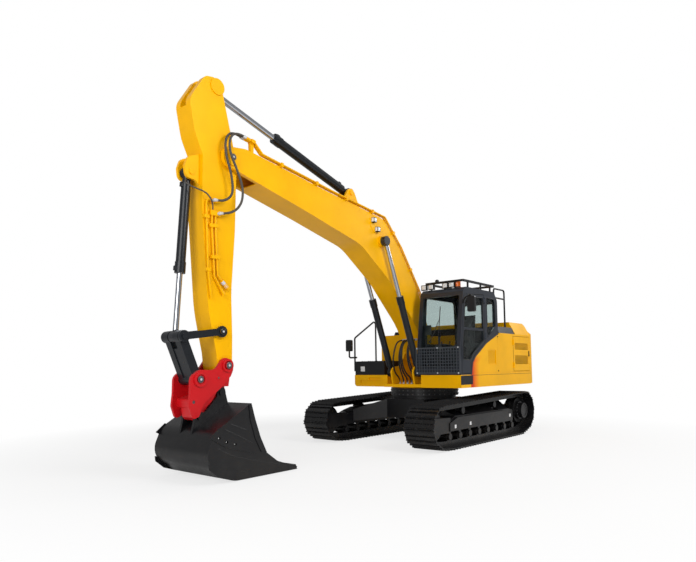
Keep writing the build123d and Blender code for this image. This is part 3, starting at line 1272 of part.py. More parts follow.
with BuildPart() as arm_pipes:
    for route, clamp_heights in ARM_PIPES:
        tube_route([(x, ARM_PIPE_Y, z) for x, z in route], 45, PIPE_R)
        for z in clamp_heights:
            x = route_x(route, z)
            block(x - 38, x + 38, ARM_HALF + SEAT_GAP, ARM_PIPE_Y + 18, z - 24, z + 24)
    for start, end, radius in ARM_FITTINGS:
        slanted_bar(start, end, ARM_PIPE_Y, radius)
    block(5370, 5525, ARM_HALF + SEAT_GAP, ARM_PIPE_Y + 18, 3530, 3600)
    block(5460, 5510, ARM_HALF + SEAT_GAP, ARM_PIPE_Y + 18, 3705, 3765)
keep(arm_pipes, "arm_pipes")


def cylinder_barrel(base, rod, y, sizes, base_eye, pin_r, eye_half):
    """Cylinder tube with its base eye, head collar and oil ports, bored for the rod."""
    rod_r, tube_r, length, rod_start = sizes
    bore = rod_r + ROD_FIT
    neck_end = base_eye + 70
    profile = [
        (0, 0),
        (0, eye_half - 1),
        (neck_end, eye_half - 1),
        (neck_end, tube_r),
        (length - 150, tube_r),
        (length - 150, tube_r + 8),
        (length, tube_r + 8),
        (length, bore),
        (neck_end + 30, bore),
        (neck_end + 30, 0),
    ]
    turned(base, rod, y, profile)
    for reach, tall in PORTS:
        ux, uz = unit(base, rod)
        x, z = along(base, rod, length * reach)
        foot = tube_r - PORT_SUNK
        across = Plane((x - uz * foot, y, z + ux * foot), x_dir=(0, 1, 0), z_dir=(-uz, 0, ux))
        with BuildSketch(across) as port_plan:
            Rectangle(44, 60)
        extrude(port_plan.sketch, amount=PORT_SUNK + tall)
    cross_pin(base, base_eye, y - eye_half, y + eye_half)
    cross_pin(base, pin_r + PIN_FIT, y - eye_half, y + eye_half, Mode.SUBTRACT)


def cylinder_rod(base, rod, y, sizes, eye_r, eye_half):
    """Piston rod from inside the barrel to its eye, which holds its own pin."""
    rod_r, tube_r, length, rod_start = sizes
    slanted_bar(along(base, rod, rod_start), rod, y, rod_r)
    cross_pin(rod, eye_r, y - eye_half, y + eye_half)


# Oil ports of a barrel: share of its length, height over the tube
PORTS = ((0.96, 26.0), (0.13, 22.0))
PORT_SUNK = 6.0
# Cylinder sizes: rod radius, tube radius, barrel length, rod start from the base pin
BOOM_CYL = (40.0, 64.0, 1560.0, 960.0)
ARM_CYL = (46.0, 76.0, 1840.0, 1230.0)
BUCKET_CYL = (38.0, 64.0, 1380.0, 720.0)

with BuildPart() as boom_barrels:
    for y in (-BOOM_CYL_Y, BOOM_CYL_Y):
        cylinder_barrel(BOOM_CYL_BASE, BOOM_CYL_ROD, y, BOOM_CYL, 88.0, PIN_R, BOOM_EYE_HALF)
keep(boom_barrels, "boom_barrels")

with BuildPart() as boom_rods:
    for y in (-BOOM_CYL_Y, BOOM_CYL_Y):
        cylinder_rod(BOOM_CYL_BASE, BOOM_CYL_ROD, y, BOOM_CYL, 88.0, BOOM_EYE_HALF)
keep(boom_rods, "boom_rods")

with BuildPart() as arm_barrel:
    cylinder_barrel(ARM_CYL_BASE, ARM_CYL_ROD, 0, ARM_CYL, 88.0, PIN_R, EYE_HALF)
keep(arm_barrel, "arm_barrel")

with BuildPart() as arm_rod:
    cylinder_rod(ARM_CYL_BASE, ARM_CYL_ROD, 0, ARM_CYL, 85.0, EYE_HALF)
keep(arm_rod, "arm_rod")

with BuildPart() as bucket_barrel:
    cylinder_barrel(BUCKET_CYL_BASE, ROD_PIN, 0, BUCKET_CYL, 80.0, PIN_R - 5, EYE_HALF)
keep(bucket_barrel, "bucket_barrel")

with BuildPart() as bucket_rod:
    cylinder_rod(BUCKET_CYL_BASE, ROD_PIN, 0, BUCKET_CYL, 75.0, EYE_HALF - 5)
keep(bucket_rod, "bucket_rod")

# Bucket linkage
ROCKER_EYE_R = 78.0
LINK_EAR_IN = EYE_HALF + 4
LINK_EAR_OUT = CHEEK_IN - 5

with BuildPart() as rockers:
    side_pair(bar_outline(ROCKER_PIN, ROD_PIN, ROCKER_EYE_R, ROCKER_EYE_R, 48), CHEEK_IN, CHEEK_OUT)
    cross_pin_pair(ROCKER_PIN, ROCKER_EYE_R, CHEEK_IN, CHEEK_OUT)
    cross_pin_pair(ROD_PIN, ROCKER_EYE_R, CHEEK_IN, CHEEK_OUT)
    cross_pin_pair(ROCKER_PIN, PIN_R - 5 + PIN_FIT, CHEEK_IN, CHEEK_OUT, Mode.SUBTRACT)
    cross_pin_pair(ROD_PIN, PIN_R - 5 + PIN_FIT, CHEEK_IN, CHEEK_OUT, Mode.SUBTRACT)
keep(rockers, "rockers")

with BuildPart() as bucket_link:
    side_pair(bar_outline(ROD_PIN, LINK_PIN, 80, 75, 62), LINK_EAR_IN, LINK_EAR_OUT)
    side_slab(bar_outline(along(ROD_PIN, LINK_PIN, 150), LINK_PIN, 0, 75, 50), -LINK_EAR_IN, LINK_EAR_IN)
    cross_pin_pair(ROD_PIN, 80, LINK_EAR_IN, LINK_EAR_OUT)
    cross_pin_pair(ROD_PIN, PIN_R - 5, LINK_EAR_OUT, CHEEK_OUT + 12)
    cross_pin(LINK_PIN, 75, -LINK_EAR_OUT, LINK_EAR_OUT)
keep(bucket_link, "bucket_link")

# Quick coupler and bucket
COUPLER_SIDE = (
    (ARM_TIP[0] - 95, ARM_TIP[1] + 60, 90),
    (ARM_TIP[0] + 60, ARM_TIP[1] + 120, 90),
    (ARM_TIP[0] + 200, ARM_TIP[1] - 60, 140),
    (LINK_PIN[0] + 10, LINK_PIN[1] + 125, 100),
    (LINK_PIN[0] + 145, LINK_PIN[1] + 40, 110),
    (LINK_PIN[0] + 150, 1120, 120),
    (5860, 960, 90),
    (5800, 790, 45),
    (5700, 830, 60),
    (5640, 985, 150),
    (5332, 1205, 300),
    (5190, 1345, 120),
    (ARM_TIP[0] - 100, ARM_TIP[1] - 60, 90),
)

with BuildPart() as coupler:
    side_pair(COUPLER_SIDE, CHEEK_IN, CHEEK_OUT)
    cross_pin_pair(LINK_PIN, 98, CHEEK_OUT, CHEEK_OUT + 22)
    cross_pin_pair(LINK_PIN, 66, CHEEK_OUT, CHEEK_OUT + 23, Mode.SUBTRACT)
    cross_pin_pair(LINK_PIN, PIN_R, CHEEK_OUT - 1, CHEEK_OUT + 16)
    cross_pin_pair(ARM_TIP, 88, CHEEK_OUT, CHEEK_OUT + 24)
    cross_pin_pair(ARM_TIP, 62, CHEEK_OUT + 2, CHEEK_OUT + 25, Mode.SUBTRACT)
    cross_pin(ARM_TIP, PIN_R, -CHEEK_OUT - 40, CHEEK_OUT + 40)
    cross_pin_pair((5400, 1325), 26, CHEEK_OUT - 1, CHEEK_OUT + 6)
    cross_pin_pair((5785, 1020), 22, CHEEK_OUT - 6, CHEEK_OUT + 1, Mode.SUBTRACT)
    saddle = [
        (5180, 1330, 20),
        (5330, 1330, 60),
        (5450, 1240, 60),
        (5560, 1120, 100),
        (5790, 1050, 40),
        (5770, 930, 30),
        (5600, 925, 60),
        (5480, 1010, 60),
        (5400, 1130, 40),
        (5370, 1205, 20),
        (5200, 1205, 10),
    ]
    side_slab(saddle, -CHEEK_IN, CHEEK_IN)
    jaw = [
        (5215, 1210, 5),
        (5205, 1100, 40),
        (5240, 1045, 40),
        (5360, 1045, 40),
        (5480, 950, 60),
        (5585, 805, 50),
        (5690, 765, 50),
        (5750, 820, 50),
        (5770, 935, 5),
        (5600, 1000, 60),
        (5400, 1220, 5),
    ]
    side_slab(jaw, -JAW_HALF, JAW_HALF)
    cross_pin(BUCKET_FRONT_PIN, BUCKET_PIN_R + SEAT_GAP, -JAW_HALF, JAW_HALF, Mode.SUBTRACT)
    cross_pin(BUCKET_REAR_PIN, BUCKET_PIN_R + SEAT_GAP, -JAW_HALF, JAW_HALF, Mode.SUBTRACT)
keep(coupler, "coupler")

WRAPPER = (
    (4310, BUCKET_LIFT, 1),
    (5500, BUCKET_LIFT, 420),
    (5900, 300, 300),
    (5750, 650, 260),
    (5480, 805, 200),
    (5160, 985, 1),
    (4700, 985, 1),
)
MOUTH_CUT = (
    (5160, 1100),
    (5160, 985),
    (5090, 760),
    (5000, 520),
    (4890, 310),
    (4690, 170),
    (4460, 90),
    (4200, 60),
    (4200, 1100),
)
WEAR_PLATE = 10.0
BUCKET_WEAR_PLATES = (
    [(5690, 702), (5151, 458), (5108, 322), (5560, 440), (5830, 590)],
    [(5205, 985), (5160, 985), (5090, 760), (5000, 520), (4890, 310), (4990, 330), (5095, 520), (5175, 760)],
    [(5840, 270), (5300, 110), (5300, 30), (5500, 30), (5700, 95), (5830, 200)],
)
BUCKET_HOLES = ((5680, 575), (5560, 515), (5425, 475))
EAR_IN = JAW_HALF + 10
EAR_OUT = EAR_IN + 38

with BuildPart() as bucket:
    side_slab(WRAPPER, -BUCKET_HALF, BUCKET_HALF)
    inside_half = BUCKET_HALF - BUCKET_PLATE
    extrude(inset_face(WRAPPER, inside_half, BUCKET_PLATE), amount=2 * inside_half, mode=Mode.SUBTRACT)
    side_slab(MOUTH_CUT, -BUCKET_HALF, BUCKET_HALF, Mode.SUBTRACT)
    ear = [
        (5185, 965, 1),
        (BUCKET_FRONT_PIN[0] - 75, BUCKET_FRONT_PIN[1] - 20, 40),
        (BUCKET_FRONT_PIN[0] - 60, BUCKET_FRONT_PIN[1] + 75, 70),
        (BUCKET_FRONT_PIN[0] + 60, BUCKET_FRONT_PIN[1] + 75, 70),
        (BUCKET_FRONT_PIN[0] + 68, BUCKET_FRONT_PIN[1] - 50, 60),
        (BUCKET_REAR_PIN[0] - 85, BUCKET_REAR_PIN[1] + 50, 60),
        (BUCKET_REAR_PIN[0] + 75, BUCKET_REAR_PIN[1] + 75, 70),
        (BUCKET_REAR_PIN[0] + 80, BUCKET_REAR_PIN[1] - 60, 60),
        (5790, 520, 1),
        (5500, 790, 1),
    ]
    side_pair(ear, EAR_IN, EAR_OUT)
    cross_pin(BUCKET_FRONT_PIN, BUCKET_PIN_R, -EAR_OUT - 20, EAR_OUT + 20)
    cross_pin(BUCKET_REAR_PIN, BUCKET_PIN_R, -EAR_OUT - 20, EAR_OUT + 20)
    for plate in BUCKET_WEAR_PLATES:
        side_pair(plate, BUCKET_HALF, BUCKET_HALF + WEAR_PLATE)
    for hole in BUCKET_HOLES:
        cross_pin(hole, 17, -BUCKET_HALF - WEAR_PLATE, BUCKET_HALF + WEAR_PLATE, Mode.SUBTRACT)
    block(4313, 4560, -BUCKET_HALF, BUCKET_HALF, BUCKET_LIFT + BUCKET_PLATE, BUCKET_LIFT + BUCKET_PLATE + 14)
keep(bucket, "bucket")

# Free hoses from the boom's lines to the arm's: node name, then its route as (X, Y, Z) points
HOSE_R = 17.0
HOSES = (
    ("arm_hose_outer", (
        (4959.4, 254, 4760), (5120, 262, 4785), (5260, 275, 4685), (5285, 290, 4470), (5170, 315, 4220),
        (5065, 315, 3990), (5060, 300, 3800), (5130, 272, 3670), (5250, 245, 3595), (5400, 233, 3565),
    )),
    ("arm_hose_inner", (
        (4959.4, 194, 4760), (5140, 215, 4800), (5320, 258, 4680), (5340, 270, 4430), (5235, 276, 4150),
        (5200, 270, 3905), (5258, 255, 3803), (5362, 240, 3745), (5490, 233, 3735),
    )),
)


def bend_radii(points):
    """Radius at each inner point of a hose, from the shorter run and the turn there."""
    radii = []
    for before, here, after in zip(points, points[1:], points[2:]):
        first = Vector(*here) - Vector(*before)
        second = Vector(*after) - Vector(*here)
        half_turn = radians(first.get_angle(second)) / 2
        radii.append(0.45 * min(first.length, second.length) / tan(half_turn))
    return radii


for hose_name, hose_points in HOSES:
    with BuildPart() as hose:
        with BuildLine() as hose_route:
            FilletPolyline(*hose_points, radius=bend_radii(hose_points))
        hose_end = Plane(hose_points[0], z_dir=Vector(*hose_points[1]) - Vector(*hose_points[0]))
        with BuildSketch(hose_end):
            Circle(HOSE_R)
        sweep(path=hose_route.line)
    keep(hose, hose_name)

# The whole machine moves along X so that the origin is the middle of its length
low_x = min(piece.bounding_box().min.X for piece in pieces.values())
high_x = max(piece.bounding_box().max.X for piece in pieces.values())
ORIGIN_SHIFT = -(low_x + high_x) / 2

os.makedirs("parts", exist_ok=True)
for name, piece in pieces.items():
    placed = piece.moved(Location((ORIGIN_SHIFT, 0, 0)))
    placed.label = name
    export_step(placed, f"parts/{name}.step")
print("pieces", len(pieces), "origin shift", round(ORIGIN_SHIFT, 3))
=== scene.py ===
# %% [markdown]
# # Crawler excavator
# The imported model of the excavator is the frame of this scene. Every CAD node keeps its place and gets
# a finish of its own, and small pieces that are too fine for CAD join it: bolts, hoses, lamp lenses,
# cushions, seams. All lengths are in metres. X points to the bucket, Y to the machine's left and Z up.

import json
from math import cos, pi, radians, sin

import bmesh
import bpy
from mathutils import Matrix, Vector


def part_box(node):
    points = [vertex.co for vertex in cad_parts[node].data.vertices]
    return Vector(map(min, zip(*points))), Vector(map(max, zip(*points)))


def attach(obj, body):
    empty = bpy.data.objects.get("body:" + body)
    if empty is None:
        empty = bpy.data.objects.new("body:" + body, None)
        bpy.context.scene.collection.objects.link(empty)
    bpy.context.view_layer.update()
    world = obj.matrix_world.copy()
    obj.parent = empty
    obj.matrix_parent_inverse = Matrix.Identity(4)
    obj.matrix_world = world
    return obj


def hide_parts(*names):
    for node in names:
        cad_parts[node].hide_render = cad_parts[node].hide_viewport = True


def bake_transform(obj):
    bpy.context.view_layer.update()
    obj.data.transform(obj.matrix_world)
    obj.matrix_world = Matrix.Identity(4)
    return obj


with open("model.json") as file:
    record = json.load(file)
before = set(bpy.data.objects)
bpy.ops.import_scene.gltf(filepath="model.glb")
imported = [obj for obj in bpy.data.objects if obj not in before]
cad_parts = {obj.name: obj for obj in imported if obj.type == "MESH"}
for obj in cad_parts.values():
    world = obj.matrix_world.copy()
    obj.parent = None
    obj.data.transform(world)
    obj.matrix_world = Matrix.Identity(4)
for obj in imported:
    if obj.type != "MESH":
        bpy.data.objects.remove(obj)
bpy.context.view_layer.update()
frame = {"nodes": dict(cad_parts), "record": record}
NODES = frame["nodes"]

# %% [markdown]
# ## Camera
# The photograph was taken from the front left of the machine, a little below the height of a standing
# eye. A camera could be aimed with constraints, but a matrix says it in one step: its columns are the
# camera's right, up and backward directions. The picture was cropped from a taller one, so the optical
# axis is not in its middle, and the lens shift puts that back.

# %% Camera
CAMERA_PLACE = Vector((8.586, 6.535, 1.439))
CAMERA_YAW = radians(-139.78)
CAMERA_PITCH = radians(4.0)
CAMERA_ROLL = -0.0126
SENSOR_WIDTH = 36.0
LENS = 29.62
SHIFT_UP = 0.067
FAR_CLIP = 500.0


def camera_matrix(place, yaw, pitch, roll):
    """The matrix of a camera that looks along a yaw and a pitch, rolled about its view."""
    forward = Vector((cos(pitch) * cos(yaw), cos(pitch) * sin(yaw), sin(pitch)))
    right = forward.cross(Vector((0, 0, 1))).normalized()
    up = right.cross(forward)
    turned_right = cos(roll) * right + sin(roll) * up
    turned_up = -sin(roll) * right + cos(roll) * up
    matrix = Matrix((turned_right, turned_up, -forward)).transposed().to_4x4()
    matrix.translation = place
    return matrix


camera_data = bpy.data.cameras.new("photo_camera")
camera_data.sensor_width = SENSOR_WIDTH
camera_data.lens = LENS
camera_data.shift_y = SHIFT_UP
camera_data.clip_end = FAR_CLIP
camera = bpy.data.objects.new("photo_camera", camera_data)
bpy.context.scene.collection.objects.link(camera)
camera.matrix_world = camera_matrix(CAMERA_PLACE, CAMERA_YAW, CAMERA_PITCH, CAMERA_ROLL)
bpy.context.scene.camera = camera
print("camera at", [round(c, 2) for c in camera.matrix_world.translation])

# %% [markdown]
# ## Places on the machine
# An excavator is drawn from its swing axis, so this script measures from there too: X forwards from the
# axis, Y to the left and Z up from the ground. The axis and the flank of the upper structure come from
# the frame, so that they follow the CAD model if its sizes change.

# %% Places on the machine
FORWARDS = Vector((1, 0, 0))
LEFTWARDS = Vector((0, 1, 0))
UPWARDS = Vector((0, 0, 1))
BOTH = (-1, 1)


def middle(node):
    """X and Z of the middle of a CAD node's box."""
    low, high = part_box(node)
    return (low[0] + high[0]) / 2, (low[2] + high[2]) / 2


AXIS_X = middle("swing_bearing")[0]
SIDE_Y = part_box("platform_left")[1][1]


def at(x, y, z):
    """A point in the shared frame, from its place before the swing axis."""
    return Vector((AXIS_X + x, y, z))


def around(centre, half):
    """The span from a half below a centre to a half above it."""
    return centre - half, centre + half


def outwards(side, near, far):
    """The span in Y between two distances from the middle plane, on the left (1) or the right (-1)."""
    return sorted((side * near, side * far))


print("swing axis at X", round(AXIS_X, 4), "flank at Y", round(SIDE_Y, 4))

# %% [markdown]
# ## Free hoses
# Hydraulic hose is thick rubber with a woven cover, stiff enough to hang in one wide bend. A NURBS
# curve of order 3 through control points bends the same way. The curve is read back as a line
# of points and a round skin is drawn over that line.

# %% Round skin over a line of points
ALMOST_ALONG = 0.9


def start_side(along, *sides):
    """The first of the given side vectors that doesn't nearly run along the route."""
    return next(side for side in sides if abs(side.dot(along)) < ALMOST_ALONG)


def ring_of(centre, along, side, radius, count):
    """Points of one ring across a route, and the side vector to start the next ring from."""
    side = (side - along * side.dot(along)).normalized()
    other = along.cross(side)
    turns = [2 * pi * i / count for i in range(count)]
    return [centre + radius * (cos(turn) * side + sin(turn) * other) for turn in turns], side


def close_rings(mesh, rings):
    """Faces between neighbouring rings, and a cap on both ends."""
    for low, high in zip(rings, rings[1:]):
        for i in range(len(low)):
            mesh.faces.new((low[i - 1], low[i], high[i], high[i - 1]))
    mesh.faces.new(rings[0])
    mesh.faces.new(rings[-1])


def skin(mesh, route, radius, count):
    """A closed round skin over a line of points, added to a bmesh."""
    side = start_side((route[1] - route[0]).normalized(), LEFTWARDS, UPWARDS)
    rings = []
    for i, here in enumerate(route):
        before = route[max(i - 1, 0)]
        after = route[min(i + 1, len(route) - 1)]
        places, side = ring_of(here, (after - before).normalized(), side, radius, count)
        rings.append([mesh.verts.new(place) for place in places])
    close_rings(mesh, rings)


# %% Line of points along a curve
CURVE_STEPS = 10


def curve_line(name, points):
    """The points along the NURBS spline that has the given control points."""
    curve = bpy.data.curves.new(name + "_line", "CURVE")
    curve.dimensions = "3D"
    curve.resolution_u = CURVE_STEPS
    spline = curve.splines.new("NURBS")
    spline.points.add(len(points) - 1)
    for control, point in zip(spline.points, points):
        control.co = (*point, 1)
    spline.order_u = 3
    spline.use_endpoint_u = True
    carrier = bpy.data.objects.new(name + "_line", curve)
    mesh = bpy.data.meshes.new_from_object(carrier)
    line = [vertex.co.copy() for vertex in mesh.vertices]
    bpy.data.objects.remove(carrier)
    return line


# %% From a mesh to a piece
SHARP_ANGLE = radians(40)


def linked(name, data):
    """A new object in the scene, made from a mesh or a lamp."""
    piece = bpy.data.objects.new(name, data)
    bpy.context.scene.collection.objects.link(piece)
    return piece


def finished_piece(name, mesh):
    """A linked object from a bmesh, with outward normals and soft shading up to the sharp angle."""
    bmesh.ops.recalc_face_normals(mesh, faces=mesh.faces)
    data = bpy.data.meshes.new(name)
    mesh.to_mesh(data)
    mesh.free()
    for polygon in data.polygons:
        polygon.use_smooth = True
    data.set_sharp_from_angle(angle=SHARP_ANGLE)
    return linked(name, data)


# %% Hose from one body to the next
HOSE_SIDES = 12
HOSE_PIECES = []


def hose(name, diameter, points, replaced=()):
    """A free hose between two bodies, through control points given from the swing axis."""
    line = curve_line(name, [at(*point) for point in points])
    mesh = bmesh.new()
    skin(mesh, line, radius=diameter / 2, count=HOSE_SIDES)
    piece = finished_piece(name, mesh)
    if replaced:
        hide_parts(*replaced)
    measured = sum((b - a).length for a, b in zip(line, line[1:]))
    print(name, "measures", round(measured, 3))
    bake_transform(piece)
    HOSE_PIECES.append(piece)


# %% [markdown]
# ## Routes of the hoses
# Two hoses carry oil from the pipes on the boom to those on the arm, in a loose bundle round the joint.
# A thin one feeds the bucket cylinder. At the boom's foot six black hoses hang in a loop between the
# turntable and the boom. Each route is a short list of control points, set against the photograph.

# %% Hoses at the arm
ARM_HOSE_D = 0.034
CYLINDER_HOSE_D = 0.020
hose("hose_boom_to_arm_outer", diameter=ARM_HOSE_D, points=(
    (4.9594, 0.254, 4.760), (5.120, 0.262, 4.785), (5.260, 0.275, 4.685), (5.285, 0.290, 4.470),
    (5.170, 0.315, 4.220), (5.065, 0.315, 3.990), (5.060, 0.300, 3.800), (5.130, 0.272, 3.670),
    (5.250, 0.245, 3.595), (5.400, 0.233, 3.565),
), replaced=("arm_hose_outer",))
hose("hose_boom_to_arm_inner", diameter=ARM_HOSE_D, points=(
    (4.9594, 0.194, 4.760), (5.140, 0.215, 4.800), (5.320, 0.258, 4.680), (5.340, 0.270, 4.430),
    (5.235, 0.276, 4.150), (5.200, 0.270, 3.905), (5.258, 0.255, 3.803), (5.362, 0.240, 3.745),
    (5.490, 0.233, 3.735),
), replaced=("arm_hose_inner",))
hose("hose_bucket_cylinder", diameter=CYLINDER_HOSE_D, points=(
    (5.490, 0.197, 3.608), (5.500, 0.215, 3.680), (5.560, 0.235, 3.760), (5.640, 0.225, 3.820),
    (5.760, 0.185, 3.850), (5.840, 0.130, 3.890), (5.862, 0.085, 3.940), (5.822, 0.062, 3.975),
))

# %% Hoses at the boom's foot
FOOT_HOSE_D = 0.030
TURNTABLE_SPREAD = 1.5
# letter, Y where it joins the boom, how much further out it loops, length
FOOT_HOSES = (
    ("a", -0.165, 0.11, 1.21), ("b", -0.105, 0.01, 1.06), ("c", -0.040, 0.07, 1.15),
    ("d", 0.025, 0.13, 1.24), ("e", 0.085, 0.03, 1.09), ("f", 0.150, 0.09, 1.18),
)
for letter, y, out, length in FOOT_HOSES:
    low_y = y * TURNTABLE_SPREAD
    hose("hose_boom_foot_" + letter, diameter=FOOT_HOSE_D, points=(
        (0.520, low_y, 1.102), (0.530, low_y, 1.210), (0.620 + out, y * 1.4, 1.330),
        (0.720 + out, y * 1.2, 1.560), (0.700 + out, y, 1.800), (0.600 + out, y, 1.950),
        (0.520, y, 1.985), (0.476, y, 1.993),
    ))
print("hoses", len(HOSE_PIECES))

# %% [markdown]
# ## Node helpers
# A finish is a short chain of shader nodes: a pattern, a ramp that turns it into colours or roughness,
# a bump. The nodes could be added one by one, but a class with a short call for each keeps a finish
# readable, because one line then stands for one step of the painter's work.

# %% Node helpers
# places of the colour sockets among all those of the Mix node
MIX_FACTOR = 0
MIX_FIRST = 6
MIX_SECOND = 7
MIX_RESULT = 2


class Finish:
    """A new material with a Principled shader and short calls for the usual nodes."""

    def __init__(self, name, colour, roughness, metallic=0.0):
        self.material = bpy.data.materials.new(name)
        self.material.use_nodes = True
        self.tree = self.material.node_tree
        self.shader = self.tree.nodes["Principled BSDF"]
        self.shader.inputs["Base Color"].default_value = (*colour, 1)
        self.shader.inputs["Roughness"].default_value = roughness
        self.shader.inputs["Metallic"].default_value = metallic
        self.place = self.node("ShaderNodeTexCoord").outputs["Object"]

    def node(self, kind, **settings):
        made = self.tree.nodes.new(kind)
        for key, value in settings.items():
            setattr(made, key, value)
        return made

    def link(self, out, into):
        self.tree.links.new(out, into)

    def feed(self, socket, value):
        """Gives a socket a number, a colour or another node's output."""
        if isinstance(value, (int, float)):
            socket.default_value = value
        elif isinstance(value, tuple):
            socket.default_value = (*value, 1)
        else:
            self.link(value, socket)

    def noise(self, scale, detail=4.0, rough=0.55, stretch=(1, 1, 1)):
        """A cloudy pattern in the object's space; a larger scale makes smaller clouds."""
        mapping = self.node("ShaderNodeMapping")
        mapping.inputs["Scale"].default_value = stretch
        self.link(self.place, mapping.inputs["Vector"])
        made = self.node("ShaderNodeTexNoise")
        made.inputs["Scale"].default_value = scale
        made.inputs["Detail"].default_value = detail
        made.inputs["Roughness"].default_value = rough
        self.link(mapping.outputs["Vector"], made.inputs["Vector"])
        return made.outputs["Fac"]

    def ramp(self, value, *stops):
        """A colour read from stops of (position, colour)."""
        made = self.node("ShaderNodeValToRGB")
        elements = made.color_ramp.elements
        while len(elements) < len(stops):
            elements.new(0.5)
        for element, (position, colour) in zip(elements, stops):
            element.position = position
            element.color = (*colour, 1)
        self.link(value, made.inputs["Fac"])
        return made.outputs["Color"]

    def span(self, value, low, high, from_low=0.0, from_high=1.0):
        """A value carried over from one range to another, and held at its ends."""
        made = self.node("ShaderNodeMapRange")
        made.inputs["From Min"].default_value = from_low
        made.inputs["From Max"].default_value = from_high
        made.inputs["To Min"].default_value = low
        made.inputs["To Max"].default_value = high
        self.link(value, made.inputs["Value"])
        return made.outputs["Result"]

    def mix(self, factor, first, second):
        """The first colour where the factor is 0, the second where it is 1."""
        made = self.node("ShaderNodeMix", data_type="RGBA")
        self.feed(made.inputs[MIX_FACTOR], factor)
        self.feed(made.inputs[MIX_FIRST], first)
        self.feed(made.inputs[MIX_SECOND], second)
        return made.outputs[MIX_RESULT]

    def maths(self, kind, first, second=0.0):
        """One step of arithmetic between two numbers or patterns."""
        made = self.node("ShaderNodeMath", operation=kind)
        self.feed(made.inputs[0], first)
        self.feed(made.inputs[1], second)
        return made.outputs[0]

    def times(self, first, second):
        return self.maths("MULTIPLY", first, second)

    def axis(self, letter):
        """One coordinate of the place on the machine, in metres in the shared frame."""
        parts = self.node("ShaderNodeSeparateXYZ")
        self.link(self.place, parts.inputs[0])
        return parts.outputs[letter]

    def facing_up(self, start, end):
        """A mask that grows from 0 on walls to 1 on faces that look up, where dust settles."""
        parts = self.node("ShaderNodeSeparateXYZ")
        self.link(self.node("ShaderNodeNewGeometry").outputs["Normal"], parts.inputs[0])
        return self.span(parts.outputs["Z"], low=0.0, high=1.0, from_low=start, from_high=end)

    def near_ground(self, low, high):
        """A mask that is 1 near the ground and fades with height, where dirt is thrown up."""
        return self.span(self.axis("Z"), low=1.0, high=0.0, from_low=low, from_high=high)

    def round_pin(self, x, z, radius):
        """A mask that is 1 within a radius of a cross pin's axis, seen from the side."""
        across = self.node("ShaderNodeVectorMath", operation="SUBTRACT")
        self.link(self.place, across.inputs[0])
        across.inputs[1].default_value = at(x, 0, z)
        flat = self.node("ShaderNodeVectorMath", operation="MULTIPLY")
        self.link(across.outputs[0], flat.inputs[0])
        flat.inputs[1].default_value = (1, 0, 1)
        far = self.node("ShaderNodeVectorMath", operation="LENGTH")
        self.link(flat.outputs[0], far.inputs[0])
        return self.maths("LESS_THAN", far.outputs["Value"], radius)

    def bump(self, height, distance, strength):
        made = self.node("ShaderNodeBump")
        made.inputs["Strength"].default_value = strength
        made.inputs["Distance"].default_value = distance
        self.link(height, made.inputs["Height"])
        self.link(made.outputs["Normal"], self.shader.inputs["Normal"])

    def colour_from(self, out):
        self.link(out, self.shader.inputs["Base Color"])

    def roughness_from(self, out):
        self.link(out, self.shader.inputs["Roughness"])


# %% [markdown]
# ## Paints
# The body is sprayed in a warm yellow over welded steel plate. From near, such paint has a faint orange
# peel, a slow change of tone over each panel and a thin film of dust on what faces up. A picture of
# paint would repeat and blur. Four noise patterns at different scales, from a few centimetres to half a
# metre, never do.

# %% Sprayed paint
TONE_SCALE = 1.7
DUST_SCALE = 9.0
GLOSS_SCALE = 14.0
PEEL_SCALE = 45.0
PEEL_DEPTH = 0.0005
PEEL_STRENGTH = 0.12
CLEAR_COAT_ROUGHNESS = 0.12
WHITE_GLINT = (0.6, 0.6, 0.6)


def sprayed(name, colour, roughness, dust, glint=WHITE_GLINT, clear_coat=0.05, film_share=0.6):
    """Paint with a slow change of tone, an orange peel, and dust where it faces up."""
    finish = Finish(name, colour, roughness)
    deep = tuple(c * 0.90 for c in colour)
    light = tuple(min(1.0, c * 1.05) for c in colour)
    painted = finish.ramp(finish.noise(TONE_SCALE, detail=3), (0.3, deep), (0.7, light))
    patchy = finish.span(finish.noise(DUST_SCALE), low=0.0, high=film_share, from_low=0.35, from_high=0.7)
    film = finish.times(finish.facing_up(start=0.3, end=1.0), patchy)
    finish.painted = finish.mix(film, painted, dust)
    finish.colour_from(finish.painted)
    gloss = finish.noise(GLOSS_SCALE, detail=6)
    finish.roughness_from(finish.span(gloss, low=roughness - 0.06, high=roughness + 0.1))
    finish.bump(finish.noise(PEEL_SCALE, detail=1), PEEL_DEPTH, PEEL_STRENGTH)
    finish.shader.inputs["Specular Tint"].default_value = (*glint, 1)
    finish.shader.inputs["Coat Weight"].default_value = clear_coat
    finish.shader.inputs["Coat Roughness"].default_value = CLEAR_COAT_ROUGHNESS
    return finish


# %% [markdown]
# ## Fading stripe
# Behind the cab's black corner a stripe fades from red over orange into the yellow. On the machine it
# is a printed film, and here it is painted by place: how far back a point lies from the slanted edge
# picks its colour from a ramp, and only the outside of the left panel takes part.

# %% Fading stripe
STRIPE_FRONT = 0.41
STRIPE_WIDE = 0.27
STRIPE_BEND_Z = 1.50
STRIPE_LEAN = 1.15
STRIPE_TOP_Z = 1.66
STRIPE_TOP_SOFT = 0.12
STRIPE_OUTSIDE_Y = 1.30
STRIPE_OVERLAP = 0.3
STRIPE_RED = (0.62, 0.035, 0.004)
STRIPE_ORANGE = (0.85, 0.20, 0.004)


